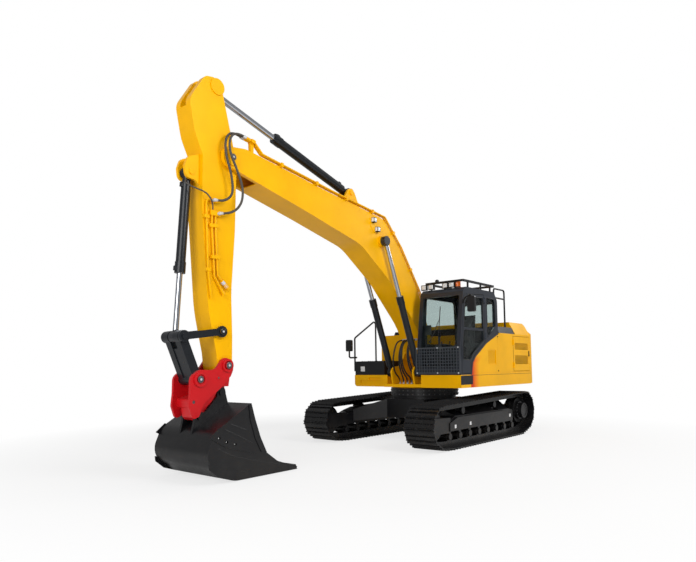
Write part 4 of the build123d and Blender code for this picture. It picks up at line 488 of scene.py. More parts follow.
def with_fade_stripe(finish, colour):
    """The red and orange fade on the left side panel, along the black corner of the cab."""
    height = finish.axis("Z")
    above_bend = finish.maths("MAXIMUM", finish.maths("SUBTRACT", height, STRIPE_BEND_Z), 0.0)
    place = finish.maths("ADD", finish.axis("X"), finish.times(above_bend, STRIPE_LEAN))
    share = finish.maths("DIVIDE", finish.maths("SUBTRACT", AXIS_X + STRIPE_FRONT, place), STRIPE_WIDE)
    fade = finish.ramp(share, (0.0, STRIPE_RED), (0.38, STRIPE_ORANGE), (1.0, colour))
    outside = finish.maths("GREATER_THAN", finish.axis("Y"), STRIPE_OUTSIDE_Y)
    fade_from_z = STRIPE_TOP_Z - STRIPE_TOP_SOFT
    below_top = finish.span(height, low=1.0, high=0.0, from_low=fade_from_z, from_high=STRIPE_TOP_Z)
    behind_edge = finish.maths("GREATER_THAN", share, -STRIPE_OVERLAP)
    inside = finish.times(behind_edge, finish.maths("LESS_THAN", share, 1.0))
    mask = finish.times(finish.times(below_top, outside), inside)
    finish.colour_from(finish.mix(mask, finish.painted, fade))
    return finish


# %% The machine's paints
YELLOW = (0.90, 0.445, 0.0)
YELLOW_DUST = (0.70, 0.40, 0.03)
YELLOW_GLINT = (1.0, 0.66, 0.10)
yellow_paint = sprayed(
    "body_yellow_paint", YELLOW, roughness=0.30, dust=YELLOW_DUST, glint=YELLOW_GLINT,
    clear_coat=0.03, film_share=0.25)
BODY_YELLOW = with_fade_stripe(yellow_paint, YELLOW).material
TRIM_BLACK = sprayed(
    "satin_black_paint", (0.005, 0.0055, 0.007), roughness=0.40, dust=(0.02, 0.019, 0.018)).material
CAB_GREY = sprayed(
    "cab_charcoal_paint", (0.011, 0.014, 0.020), roughness=0.32, dust=(0.03, 0.03, 0.032),
    glint=(0.8, 0.85, 1.0)).material
CYLINDER_GREY = sprayed(
    "cylinder_slate_paint", (0.007, 0.009, 0.012), roughness=0.28, dust=(0.02, 0.02, 0.022)).material
COUPLER_RED = sprayed(
    "coupler_red_paint", (0.56, 0.006, 0.010), roughness=0.30, dust=(0.42, 0.04, 0.04),
    glint=(1.0, 0.45, 0.45), clear_coat=0.1).material
GUARD_GREY = sprayed(
    "guard_grey_paint", (0.045, 0.052, 0.062), roughness=0.35, dust=(0.07, 0.07, 0.07)).material
PAINTS = (BODY_YELLOW, TRIM_BLACK, CAB_GREY, CYLINDER_GREY, COUPLER_RED, GUARD_GREY)
print("paints", [paint.name for paint in PAINTS])

# %% [markdown]
# ## Worn steel
# The undercarriage and the bucket are dipped black, then scuffed by stones and greyed by dry mud. The
# scuffs are a noise that is stretched along the machine, the mud is a mask that fades with height, and
# both only lift the colour a little, because in daylight such steel still reads as black.

# %% Worn steel
SCUFF_SCALE = 6.0
SCUFF_STRETCH = (0.6, 1, 1)
MUD_SCALE = 3.0
DRY_MUD = (0.10, 0.085, 0.065)
DIPPED_SHINE = 0.35


def scuffed_steel(name, colour, scuff, roughness, mud, low, high):
    """Dark steel with paler scuffs, and mud that fades out between two heights."""
    finish = Finish(name, colour, roughness)
    finish.shader.inputs["Specular IOR Level"].default_value = DIPPED_SHINE
    clouds = finish.noise(SCUFF_SCALE, detail=8, rough=0.7, stretch=SCUFF_STRETCH)
    patches = finish.span(clouds, low=0.0, high=1.0, from_low=0.52, from_high=0.74)
    worn = finish.mix(finish.times(patches, 0.5), colour, scuff)
    clots = finish.noise(MUD_SCALE, detail=6)
    splashes = finish.span(clots, low=0.0, high=mud, from_low=0.4, from_high=0.7)
    finish.colour_from(finish.mix(finish.times(finish.near_ground(low, high), splashes), worn, DRY_MUD))
    gloss = finish.noise(scale=20.0, detail=6)
    finish.roughness_from(finish.span(gloss, low=roughness - 0.1, high=roughness + 0.14))
    finish.bump(finish.noise(scale=60.0, detail=5), distance=0.0015, strength=0.4)
    return finish.material


CHASSIS_BLACK = scuffed_steel(
    "chassis_black_paint", (0.004, 0.004, 0.005), scuff=(0.014, 0.014, 0.015), roughness=0.32,
    mud=0.12, low=0.1, high=0.9)
TRACK_STEEL = scuffed_steel(
    "track_shoe_steel", (0.005, 0.005, 0.006), scuff=(0.030, 0.029, 0.028), roughness=0.27,
    mud=0.12, low=0.0, high=0.5)
BUCKET_BLACK = scuffed_steel(
    "bucket_black_paint", (0.004, 0.004, 0.005), scuff=(0.014, 0.014, 0.014), roughness=0.30,
    mud=0.10, low=0.0, high=0.6)
ENGINE_IRON = scuffed_steel(
    "engine_casting", (0.05, 0.05, 0.05), scuff=(0.12, 0.12, 0.12), roughness=0.6,
    mud=0.1, low=0.0, high=0.5)
PIN_STEEL = scuffed_steel(
    "pin_steel", (0.06, 0.06, 0.065), scuff=(0.16, 0.16, 0.16), roughness=0.38,
    mud=0.1, low=0.0, high=0.6)
ZINC = scuffed_steel(
    "zinc_plate", (0.55, 0.56, 0.58), scuff=(0.40, 0.41, 0.42), roughness=0.32,
    mud=0.0, low=0.0, high=0.1)
STEELS = (CHASSIS_BLACK, TRACK_STEEL, BUCKET_BLACK, ENGINE_IRON, PIN_STEEL, ZINC)
print("steels", [steel.name for steel in STEELS])

# %% [markdown]
# ## Chrome
# A cylinder's rod is hard chrome, polished with faint streaks, while the eye at its end is painted like
# the barrel. Rod and eye are one solid in CAD, so a round mask about the pin's axis switches the metal
# to paint there.

# %% Chrome
CHROME = (0.46, 0.48, 0.52)
EYE_PAINT = (0.012, 0.014, 0.018)
EYE_ROUGHER = 0.22


def chromed(name, eye=None):
    """Hard chrome, with the eye at the rod's end painted like the cylinder."""
    finish = Finish(name, CHROME, 0.10, metallic=1.0)
    gloss = finish.span(finish.noise(scale=30.0, detail=3, stretch=(1, 1, 6)), low=0.05, high=0.14)
    finish.roughness_from(gloss)
    if eye:
        painted = finish.round_pin(*eye)
        finish.colour_from(finish.mix(painted, CHROME, EYE_PAINT))
        finish.link(finish.maths("SUBTRACT", 1.0, painted), finish.shader.inputs["Metallic"])
        finish.roughness_from(finish.maths("ADD", gloss, finish.times(painted, EYE_ROUGHER)))
    finish.bump(finish.noise(scale=220.0, detail=2), distance=0.0002, strength=0.2)
    return finish.material


ROD_CHROME = chromed("rod_hard_chrome")
MIRROR_SILVER = chromed("mirror_silver")
# for each node, X and Z of the rod's eye from the swing axis, and its radius
ROD_EYES = {
    "boom_rods": (1.720, 3.770, 0.094),
    "arm_rod": (5.400, 5.380, 0.094),
    "bucket_rod": (5.930, 1.870, 0.094),
}
EYED_CHROME = {node: chromed(node + "_chrome", eye) for node, eye in ROD_EYES.items()}
print("rods with painted eyes", len(EYED_CHROME))

# %% [markdown]
# ## Rubber, plastic and glass
# Rubber hose and seat cloth share a fine weave that shows as tiny bumps and a speckled tone. Plastics
# are even with a fine grain. The panes are thin sheets with a slight green tint, and because a thin
# pane hardly bends the light, its index of refraction is kept close to that of air.

# %% Rubber, plastic and glass
WEAVE_SCALE = 420.0
THIN_PANE_IOR = 1.12


def woven(name, colour):
    """A matt cover with a fine weave."""
    finish = Finish(name, colour, 0.62)
    weave = finish.noise(WEAVE_SCALE, detail=2)
    deep = tuple(c * 0.75 for c in colour)
    light = tuple(c * 1.25 for c in colour)
    finish.colour_from(finish.ramp(weave, (0.3, deep), (0.7, light)))
    finish.bump(weave, distance=0.0008, strength=0.6)
    return finish.material


def plain_plastic(name, colour, roughness, grain):
    """Smooth or matt plastic with a fine grain."""
    finish = Finish(name, colour, roughness)
    gloss = finish.noise(grain, detail=3)
    finish.roughness_from(finish.span(gloss, low=roughness - 0.05, high=roughness + 0.08))
    finish.bump(finish.noise(scale=grain * 2, detail=2), distance=0.0004, strength=0.5)
    return finish.material


def window_glass(name, tint):
    """A clear pane with a tint, not quite even in its polish."""
    finish = Finish(name, tint, 0.02)
    finish.shader.inputs["Transmission Weight"].default_value = 1.0
    finish.shader.inputs["IOR"].default_value = THIN_PANE_IOR
    finish.roughness_from(finish.span(finish.noise(scale=4.0, detail=3), low=0.0, high=0.03))
    return finish.material


HOSE_RUBBER = woven("hose_rubber", (0.055, 0.047, 0.038))
HOSE_BLACK = woven("hose_rubber_black", (0.012, 0.011, 0.010))
SEAT_FABRIC = woven("seat_fabric", (0.020, 0.020, 0.023))
CAB_PLASTIC = plain_plastic("cab_plastic", (0.03, 0.03, 0.033), roughness=0.55, grain=300.0)
PLATE_WHITE = plain_plastic("plate_white", (0.70, 0.70, 0.70), roughness=0.4, grain=200.0)
LAMP_LENS = plain_plastic("lamp_lens", (0.72, 0.75, 0.78), roughness=0.15, grain=90.0)
BEACON_AMBER = plain_plastic("beacon_amber", (0.85, 0.16, 0.01), roughness=0.22, grain=90.0)
WINDOW_GLASS = window_glass("window_glass", (0.60, 0.67, 0.66))
print("materials in all", len(bpy.data.materials))

# %% [markdown]
# ## Finishes on the CAD nodes
# The record names a material slot for each node. Each node could be dressed by hand, but a table from
# slot to finish dresses the whole machine in one loop, so a new node with one of these slots needs no
# change here.

# %% Finishes on the CAD nodes
SLOT_FINISH = {
    "chassis_black": CHASSIS_BLACK,
    "track_steel": TRACK_STEEL,
    "body_yellow": BODY_YELLOW,
    "trim_black": TRIM_BLACK,
    "engine_iron": ENGINE_IRON,
    "cab_grey": CAB_GREY,
    "window_glass": WINDOW_GLASS,
    "lamp_clear": TRIM_BLACK,
    "beacon_amber": BEACON_AMBER,
    "seat_fabric": SEAT_FABRIC,
    "cab_plastic": CAB_PLASTIC,
    "cylinder_black": CYLINDER_GREY,
    "rod_chrome": ROD_CHROME,
    "linkage_black": CYLINDER_GREY,
    "coupler_red": COUPLER_RED,
    "bucket_black": BUCKET_BLACK,
    "hose_rubber": HOSE_RUBBER,
}
OWN_FINISH = EYED_CHROME | {"mesh_guard": GUARD_GREY}
SLOT_OF = {entry["node"]: entry["material_slot"] for entry in frame["record"]["subparts"]}
for name, node in NODES.items():
    node.data.materials.clear()
    node.data.materials.append(OWN_FINISH.get(name, SLOT_FINISH[SLOT_OF[name]]))
for piece in HOSE_PIECES:
    piece.data.materials.append(HOSE_BLACK if "foot" in piece.name else HOSE_RUBBER)
print("nodes dressed", len(NODES))

# %% [markdown]
# ## Kits of small parts
# Hundreds of small parts as objects of their own would be slow and hard to follow, so they are gathered
# by body and finish into one mesh each. A turned part comes from pairs of reach and radius, as on a
# lathe, a slab from its outline, a block from three spans, and a bent tube from its corners.

# %% Kits of small parts
BEND_STEPS = 5


def rounded(points, bend):
    """A route with each corner cut back by the bend and joined by a soft arc."""
    route = [points[0]]
    for before, corner, after in zip(points, points[1:], points[2:]):
        start = corner + (before - corner).normalized() * bend
        end = corner + (after - corner).normalized() * bend
        for i in range(BEND_STEPS + 1):
            share = i / BEND_STEPS
            route.append((1 - share) ** 2 * start + 2 * share * (1 - share) * corner + share**2 * end)
    return route + [points[-1]]


class Kit:
    """Small solids of one body and one finish, gathered into one mesh."""

    def __init__(self):
        self.mesh = bmesh.new()

    def turned(self, start, axis, profile, sides=20):
        """A part turned round an axis, from pairs of (reach along it, radius)."""
        along = Vector(axis).normalized()
        side = start_side(along, UPWARDS, FORWARDS)
        rings = []
        for reach, radius in profile:
            places, side = ring_of(at(*start) + along * reach, along, side, radius, sides)
            rings.append([self.mesh.verts.new(place) for place in places])
        close_rings(self.mesh, rings)

    def slab(self, outline, y_low, y_high):
        """A plate with an outline in the side view, between two places in Y."""
        faces = [[self.mesh.verts.new(at(x, y, z)) for x, z in outline] for y in (y_low, y_high)]
        close_rings(self.mesh, faces)

    def block(self, x, y, z, soft=0.0):
        """A box over three spans, with soft edges where a bevel is asked for."""
        made = bmesh.ops.create_cube(self.mesh, size=1.0)["verts"]
        for vertex in made:
            vertex.co = at(*(span[0] if c < 0 else span[1] for span, c in zip((x, y, z), vertex.co)))
        if soft:
            edges = list(dict.fromkeys(edge for vertex in made for edge in vertex.link_edges))
            bmesh.ops.bevel(self.mesh, geom=edges, offset=soft, segments=2, affect="EDGES", profile=0.5)

    def tube(self, points, radius, bend=0.03, sides=10):
        """A round bar through its corners."""
        skin(self.mesh, rounded([at(*point) for point in points], bend), radius, sides)

    def done(self, name, finish, body):
        piece = finished_piece(name, self.mesh)
        piece.data.materials.append(finish)
        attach(piece, body)
        print(name, "on", body, "has", len(piece.data.polygons), "faces")
        return piece


# %% [markdown]
# ## Bolts
# The machine is held together by rings and rows of hexagonal bolts. They could be placed in a loop, but
# a Geometry Nodes tree makes them all from one head: a mesh of bare points carries an axis for each
# bolt, the head on its washer is set on every point, turned to the axis and spun by a seeded random
# angle, because real heads don't line up. The tree ends in real faces, because the export drops
# instances.

# %% Bolt tree
HEAD_SIDES = 6
WASHER_SIDES = 14
WASHER_WIDE = 1.35
WASHER_THICK = 0.35


class NodeTree:
    """A Geometry Nodes tree, with one call that adds a node and feeds its inputs."""

    def __init__(self, name, sockets):
        self.tree = bpy.data.node_groups.new(name, "GeometryNodeTree")
        for label, kind in sockets.items():
            self.tree.interface.new_socket(label, in_out="INPUT", socket_type="NodeSocket" + kind)
        self.tree.interface.new_socket("Geometry", in_out="OUTPUT", socket_type="NodeSocketGeometry")
        self.given = self.tree.nodes.new("NodeGroupInput").outputs

    def add(self, kind, inputs, **settings):
        """A new node's outputs. An input is fed with a value or with another node's output."""
        made = self.tree.nodes.new(kind)
        for key, value in settings.items():
            setattr(made, key, value)
        for key, value in inputs.items():
            if isinstance(value, bpy.types.NodeSocket):
                self.tree.links.new(value, made.inputs[key])
            else:
                made.inputs[key].default_value = value
        return made.outputs

    def scaled(self, value, factor):
        return self.add("ShaderNodeMath", {0: value, 1: factor}, operation="MULTIPLY")[0]

    def joined(self, *parts):
        """All parts in one geometry."""
        made = self.tree.nodes.new("GeometryNodeJoinGeometry")
        for part in parts:
            self.tree.links.new(part, made.inputs["Geometry"])
        return made.outputs["Geometry"]


def bolt_tree():
    """Hexagonal heads on washers, on every point and turned to the point's axis."""
    bolt = NodeTree("hex_bolts", {
        "Geometry": "Geometry", "Radius": "Float", "Height": "Float", "Seed": "Int",
        "Finish": "Material"})
    radius, height = bolt.given["Radius"], bolt.given["Height"]
    head = bolt.add("GeometryNodeMeshCylinder", {
        "Vertices": HEAD_SIDES, "Radius": radius, "Depth": height})
    washer = bolt.add("GeometryNodeMeshCylinder", {
        "Vertices": WASHER_SIDES, "Radius": bolt.scaled(radius, WASHER_WIDE),
        "Depth": bolt.scaled(height, WASHER_THICK)})
    lift = bolt.add("ShaderNodeCombineXYZ", {"Z": bolt.scaled(height, 0.5)})
    raised = bolt.add("GeometryNodeTransform", {"Geometry": head["Mesh"], "Translation": lift["Vector"]})
    axis = bolt.add("GeometryNodeInputNamedAttribute", {"Name": "axis"}, data_type="FLOAT_VECTOR")
    turn = bolt.add("FunctionNodeAlignRotationToVector", {"Vector": axis["Attribute"]}, axis="Z")
    angle = bolt.add("FunctionNodeRandomValue", {"Max": pi, "Seed": bolt.given["Seed"]})
    spin = bolt.add("FunctionNodeAxisAngleToRotation", {"Angle": angle["Value"]})
    turned = bolt.add(
        "FunctionNodeRotateRotation", {"Rotation": turn["Rotation"], "Rotate By": spin["Rotation"]},
        rotation_space="LOCAL")
    placed = bolt.add("GeometryNodeInstanceOnPoints", {
        "Points": bolt.given["Geometry"], "Instance": bolt.joined(raised["Geometry"], washer["Mesh"]),
        "Rotation": turned["Rotation"]})
    real = bolt.add("GeometryNodeRealizeInstances", {"Geometry": placed["Instances"]})
    dressed = bolt.add("GeometryNodeSetMaterial", {
        "Geometry": real["Geometry"], "Material": bolt.given["Finish"]})
    bolt.add("NodeGroupOutput", {"Geometry": dressed["Geometry"]})
    return bolt.tree


BOLT_TREE = bolt_tree()
SOCKETS = {
    item.name: item.identifier for item in BOLT_TREE.interface.items_tree if item.in_out == "INPUT"
}
print("bolt tree nodes", len(BOLT_TREE.nodes))

# %% Bolt placing
BOLT_SEED = 7


def evaluated_mesh(piece):
    """A plain mesh of an object as its modifiers leave it."""
    return bpy.data.meshes.new_from_object(piece.evaluated_get(bpy.context.evaluated_depsgraph_get()))


def bolts(name, spots, radius, height, finish, body):
    """Hex bolts on spots of (place from the swing axis, outward axis), as one plain mesh."""
    points = bpy.data.meshes.new(name + "_points")
    points.from_pydata([at(*place) for place, _ in spots], [], [])
    axes = points.attributes.new("axis", "FLOAT_VECTOR", "POINT")
    for entry, (_, axis) in zip(axes.data, spots):
        entry.vector = axis
    carrier = linked(name + "_points", points)
    modifier = carrier.modifiers.new("bolts", "NODES")
    modifier.node_group = BOLT_TREE
    for label, value in (("Radius", radius), ("Height", height), ("Seed", BOLT_SEED), ("Finish", finish)):
        modifier[SOCKETS[label]] = value
    mesh = evaluated_mesh(carrier)
    bpy.data.objects.remove(carrier)
    mesh.name = name
    piece = linked(name, mesh)
    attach(piece, body)
    print(name, len(spots), "bolts,", len(mesh.polygons), "faces")


def side_ring(x, z, ring, y, count):
    """Spots on a circle in the side view, on a face whose outside looks along Y."""
    axis = (0, 1 if y > 0 else -1, 0)
    turns = [2 * pi * i / count for i in range(count)]
    return [((x + ring * cos(turn), y, z + ring * sin(turn)), axis) for turn in turns]


# %% [markdown]
# ## Bolts of the undercarriage
# Two rows of bolts clamp the rings of the swing bearing, and rings of bolts hold the final drives and
# the idlers' caps. They sit on circles, so each ring needs only the centre of its wheel, its radius and
# a count.

# %% Bolts of the undercarriage
BEARING_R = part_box("swing_bearing")[1][1]
BEARING_ROWS_Z = (0.892, 0.968)
BEARING_BOLTS = 40
# the sprocket's teeth reach unevenly, so its shaft is given and not taken from its box
SPROCKET = (-1.6665, 0.485)
idler_x, idler_z = middle("idlers")
IDLER = (idler_x - AXIS_X, idler_z)
# centre of the wheel, radius of the ring, Y of the face under the heads, number of bolts
WHEEL_RINGS = (
    (SPROCKET, 0.106, 1.418, 12),
    (SPROCKET, 0.174, 1.340, 16),
    (IDLER, 0.048, 1.330, 6),
)
bearing_spots = []
for z in BEARING_ROWS_Z:
    for i in range(BEARING_BOLTS):
        turn = 2 * pi * (i + 0.5) / BEARING_BOLTS
        out = (cos(turn), sin(turn), 0)
        bearing_spots.append(((BEARING_R * out[0], BEARING_R * out[1], z), out))
wheel_spots = []
for side in BOTH:
    for centre, ring, y, count in WHEEL_RINGS:
        wheel_spots += side_ring(*centre, ring, side * y, count)
for name, spots, radius in (("bearing_bolts", bearing_spots, 0.011), ("wheel_bolts", wheel_spots, 0.009)):
    bolts(
        name, spots, radius, height=0.010, finish=PIN_STEEL, body="undercarriage")

# %% [markdown]
# ## Trim of the upper structure
# A black plate covers the platform's corner under the cab, and turned latches hold the panels. Both
# stand a few millimetres proud of the paint, which is enough to catch a line of light. What sits on a
# door is a kit of its own, because it swings with the door.

# %% Corner plate and panel latches
PLATE_BEHIND = 0.004
PLATE_PROUD = 0.003
CORNER_PLATE = ((0.420, 1.100), (0.860, 1.100), (0.860, 1.262), (0.412, 1.262))
# pairs of reach and radius, as for every turned part below
LATCH = ((0, 0.016), (0.004, 0.016), (0.005, 0.012), (0.009, 0.011))
LATCH_X = -0.676
LATCH_Z = (1.341, 2.030)
corner_plate = Kit()
corner_plate.slab(CORNER_PLATE, SIDE_Y - PLATE_BEHIND, SIDE_Y + PLATE_PROUD)
corner_plate.done("corner_plate", TRIM_BLACK, "upper")
latches = Kit()
for z in LATCH_Z:
    for side in BOTH:
        latches.turned((LATCH_X, side * (SIDE_Y - 0.002), z), (0, side, 0), LATCH)
latches.done("panel_latches", TRIM_BLACK, "upper")

# %% Catches of the side doors
CATCH_X = (-2.225, -2.185)
CATCH_Z = (1.640, 1.760)
CATCH_DEEP = 0.010
KEYHOLE = (-2.205, 1.665)
for side, door in ((1, "side_door_left"), (-1, "side_door_right")):
    catch = Kit()
    catch.block(x=CATCH_X, y=outwards(side, SIDE_Y, SIDE_Y + CATCH_DEEP), z=CATCH_Z, soft=0.004)
    catch.turned((KEYHOLE[0], side * (SIDE_Y + 0.009), KEYHOLE[1]), (0, side, 0), LATCH, sides=14)
    catch.done(door + "_catch", TRIM_BLACK, door)

# %% Grip of the engine hood
GRIP_X = -2.060
GRIP_FOOT_Y = 0.110
GRIP_BAR_Y = 0.118
GRIP_FOOT_Z = 2.379
GRIP_BAR_Z = 2.418
GRIP_FOOT = ((0, 0.016), (0.010, 0.016), (0.012, 0.010), (0.040, 0.009))
hood_grip = Kit()
for side in BOTH:
    hood_grip.turned((GRIP_X, side * GRIP_FOOT_Y, GRIP_FOOT_Z), UPWARDS, GRIP_FOOT, sides=12)
hood_grip.tube(((GRIP_X, -GRIP_BAR_Y, GRIP_BAR_Z), (GRIP_X, GRIP_BAR_Y, GRIP_BAR_Z)), radius=0.009)
hood_grip.done("hood_grip", TRIM_BLACK, "engine_hood")

# %% [markdown]
# ## Lamps
# Four work lamps stand on the cab's roof and two on the boom. The CAD model has their housings. Here
# each gets its pale lenses and the bracket or straps that hold it, and the roof lamps two thin bars
# across the lens, which is what tells a lamp from a black box.

# %% Roof lamps
ROOF_LAMP_Y = (0.435, 0.600, 0.910, 1.055)
ROOF_LENS_X = 0.620
ROOF_LAMP_Z = 2.991
LENS_HALF_Y = 0.046
LENS_HALF_Z = 0.039
BRACKET_OUT = 0.0595
BRACKET_X = (ROOF_LENS_X - 0.035, ROOF_LENS_X - 0.010)
BRACKET_Z = (2.932, 3.010)
lenses = Kit()
brackets = Kit()
for y in ROOF_LAMP_Y:
    across = around(y, LENS_HALF_Y)
    up = around(ROOF_LAMP_Z, LENS_HALF_Z)
    lenses.block(x=(ROOF_LENS_X, ROOF_LENS_X + 0.004), y=across, z=up, soft=0.0015)
    for share in (1 / 3, 2 / 3):
        bar_y = across[0] + share * (across[1] - across[0])
        brackets.block(x=(ROOF_LENS_X + 0.0035, ROOF_LENS_X + 0.0048), y=around(bar_y, 0.0015), z=up)
    for side in BOTH:
        bracket_y = around(y + side * BRACKET_OUT, 0.003)
        brackets.block(x=BRACKET_X, y=bracket_y, z=BRACKET_Z, soft=0.0015)
lenses.done("roof_lamp_lenses", LAMP_LENS, "upper")
brackets.done("roof_lamp_brackets", TRIM_BLACK, "upper")

# %% Boom lamps
# X and Z of the middle of each lamp
BOOM_LAMPS = ((1.985, 4.120), (1.880, 3.965))
STRAP_OUT = 0.0435
lenses = Kit()
straps = Kit()
for x, z in BOOM_LAMPS:
    lenses.block(x=(x + 0.041, x + 0.0445), y=(0.249, 0.299), z=around(z, 0.035), soft=0.001)
    lenses.block(x=around(x, 0.030), y=(0.304, 0.3075), z=around(z, 0.032), soft=0.001)
    for side in BOTH:
        straps.block(x=around(x, 0.012), y=(0.243, 0.300), z=around(z + side * STRAP_OUT, 0.002))
straps.done("boom_lamp_straps", TRIM_BLACK, "boom")
lenses.done("boom_lamp_lenses", LAMP_LENS, "boom")
print("lamps with lenses", len(ROOF_LAMP_Y) + len(BOOM_LAMPS))

# %% [markdown]
# ## Fasteners of the front guard
# A perforated plate guards the cab's lower front window. Six bright bolts hold it by its rim, so they
# are placed from the guard's own box: a little in from its ends, and one pair in the middle.

# %% Fasteners of the front guard
RIM_OF_GUARD = 0.013
RIGHT_END = 0.030
LEFT_END = 0.042
guard_low, guard_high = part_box("mesh_guard")
guard_x = guard_high[0] - AXIS_X
guard_y = (guard_low[1] + RIGHT_END, (guard_low[1] + guard_high[1]) / 2, guard_high[1] - LEFT_END)
guard_z = (guard_low[2] + RIM_OF_GUARD, guard_high[2] - RIM_OF_GUARD)
guard_spots = [((guard_x, y, z), FORWARDS) for y in guard_y for z in guard_z]
bolts(
    "guard_bolts", guard_spots, radius=0.010, height=0.008, finish=ZINC, body="upper")

# %% [markdown]
# ## Pins of the working equipment
# Boom, arm, rockers and bucket turn on cross pins. What shows of a pin is its dark head on each side,
# with a bright grease nipple in its middle, so each pin is a pair of turned discs and a pair of small
# hexagons.

# %% Pins of the working equipment
PIN_R = 0.045
# for each pin, the body it rides on, X, Z, Y of the face it shows on, finish of its heads
PINS = {
    "boom_arm_pin": ("boom", 5.190, 4.410, 0.265, PIN_STEEL),
    "rocker_pin": ("arm", 5.330, 1.950, 0.225, CYLINDER_GREY),
    "tip_pin": ("bucket", 5.250, 1.490, 0.253, PIN_STEEL),
    "link_pin": ("bucket", 5.690, 1.310, 0.229, PIN_STEEL),
}
PIN_HEAD = ((0, PIN_R + 0.0005), (0.006, PIN_R + 0.0005), (0.009, PIN_R - 0.004))
NIPPLE = ((0, 0.016), (0.006, 0.016), (0.007, 0.010))
for name, (body, x, z, face, finish) in PINS.items():
    heads = Kit()
    nipples = Kit()
    for side in BOTH:
        heads.turned((x, side * (face - 0.002), z), (0, side, 0), PIN_HEAD, sides=24)
        nipples.turned((x, side * (face + 0.006), z), (0, side, 0), NIPPLE, sides=6)
    heads.done(name + "_heads", finish, body)
    nipples.done(name + "_nipples", ZINC, body)

# %% [markdown]
# ## Seat
# The seat shows through the door's glass. Its shell is firm, its two cushions are foam under cloth. A
# bevelled block would look hard, so each cushion starts as a block of small even faces and is blown up
# by a cloth simulation with pressure from inside, which domes its faces between the corners. A cap on
# how far a point may move keeps the result calm. Two lines of piping run along each cushion.

# %% Seat shell
SEAT_MID_Y = 0.8775
SHELL_HALF = 0.20
SHELL_BACK = ((-0.190, 1.85), (-0.150, 1.84), (-0.245, 2.46), (-0.265, 2.46))
seat_shell = Kit()
seat_shell.block(x=(-0.21, 0.24), y=around(SEAT_MID_Y, 0.22), z=(1.700, 1.735), soft=0.012)
seat_shell.block(x=(-0.12, 0.16), y=around(SEAT_MID_Y, 0.11), z=(1.342, 1.702), soft=0.02)
seat_shell.slab(SHELL_BACK, *around(SEAT_MID_Y, SHELL_HALF))
shell_piece = seat_shell.done("seat_shell", CAB_PLASTIC, "upper")

# %% Cushion helpers
CLOTH_FACE = 0.011
CLOTH_FRAMES = 20
CLOTH_PRESSURE = 4.0
PUFF_CAP = 0.022
CUSHION_EDGE = 0.018


def soft_block(name, outline, half):
    """A block over a side outline, with round edges and small even faces."""
    mesh = bmesh.new()
    faces = [[mesh.verts.new(at(x, SEAT_MID_Y + y, z)) for x, z in outline] for y in (-half, half)]
    close_rings(mesh, faces)
    bmesh.ops.recalc_face_normals(mesh, faces=mesh.faces)
    bmesh.ops.bevel(
        mesh, geom=list(mesh.edges), offset=CUSHION_EDGE, segments=3, affect="EDGES", profile=0.5)
    data = bpy.data.meshes.new(name)
    mesh.to_mesh(data)
    mesh.free()
    piece = linked(name, data)
    remesh = piece.modifiers.new("remesh", "REMESH")
    remesh.mode = "VOXEL"
    remesh.voxel_size = CLOTH_FACE
    firm = evaluated_mesh(piece)
    piece.modifiers.clear()
    piece.data = firm
    return piece


def blow_up(piece):
    """Lets cloth pressure dome the faces, with no point moved past the cap."""
    firm = [vertex.co.copy() for vertex in piece.data.vertices]
    cloth = piece.modifiers.new("cloth", "CLOTH")
    cloth.settings.use_pressure = True
    cloth.settings.uniform_pressure_force = CLOTH_PRESSURE
    cloth.settings.effector_weights.gravity = 0.0
    cloth.point_cache.frame_end = CLOTH_FRAMES
    for frame_number in range(1, CLOTH_FRAMES + 1):
        bpy.context.scene.frame_set(frame_number)
    blown = [vertex.co.copy() for vertex in evaluated_mesh(piece).vertices]
    piece.modifiers.clear()
    bpy.context.scene.frame_set(1)
    furthest = 0.0
    for vertex, old, new in zip(piece.data.vertices, firm, blown):
        step = new - old
        if step.length > PUFF_CAP:
            step = step.normalized() * PUFF_CAP
        vertex.co = old + step
        furthest = max(furthest, step.length)
    print(piece.name, "moved up to", round(furthest, 4))


def cushion(name, outline, half):
    """A padded cushion over a side outline."""
    piece = soft_block(name, outline, half)
    blow_up(piece)
    for polygon in piece.data.polygons:
        polygon.use_smooth = True
    soften = piece.modifiers.new("soften", "SUBSURF")
    soften.levels = 1
    soften.render_levels = 1
    piece.data.materials.append(SEAT_FABRIC)
    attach(piece, "upper")


# %% Cushions and piping
PIPING_R = 0.0035
PIPING_OUT = 0.10
cushion("seat_cushion", ((-0.185, 1.745), (0.225, 1.745), (0.235, 1.815), (-0.160, 1.815)), half=0.215)
cushion("seat_back", ((-0.155, 1.865), (-0.085, 1.865), (-0.175, 2.430), (-0.235, 2.430)), half=0.205)
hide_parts("seat")
piping = Kit()
for y in around(SEAT_MID_Y, PIPING_OUT):
    seat_line = ((-0.140, y, 1.829), (0.040, y, 1.838), (0.215, y, 1.828))
    back_line = ((-0.078, y, 1.900), (-0.114, y, 2.150), (-0.163, y, 2.405))
    piping.tube(seat_line, radius=PIPING_R, bend=0.08, sides=6)
    piping.tube(back_line, radius=PIPING_R, bend=0.10, sides=6)
piping.done("seat_piping", CAB_PLASTIC, "upper")

# %% [markdown]
# ## Controls
# There is a joystick on each console, two travel levers with pedals before the seat, and a small
# display on a post. They are seen as dark shapes through the glass, so turned grips, bent bars and soft
# blocks are enough.

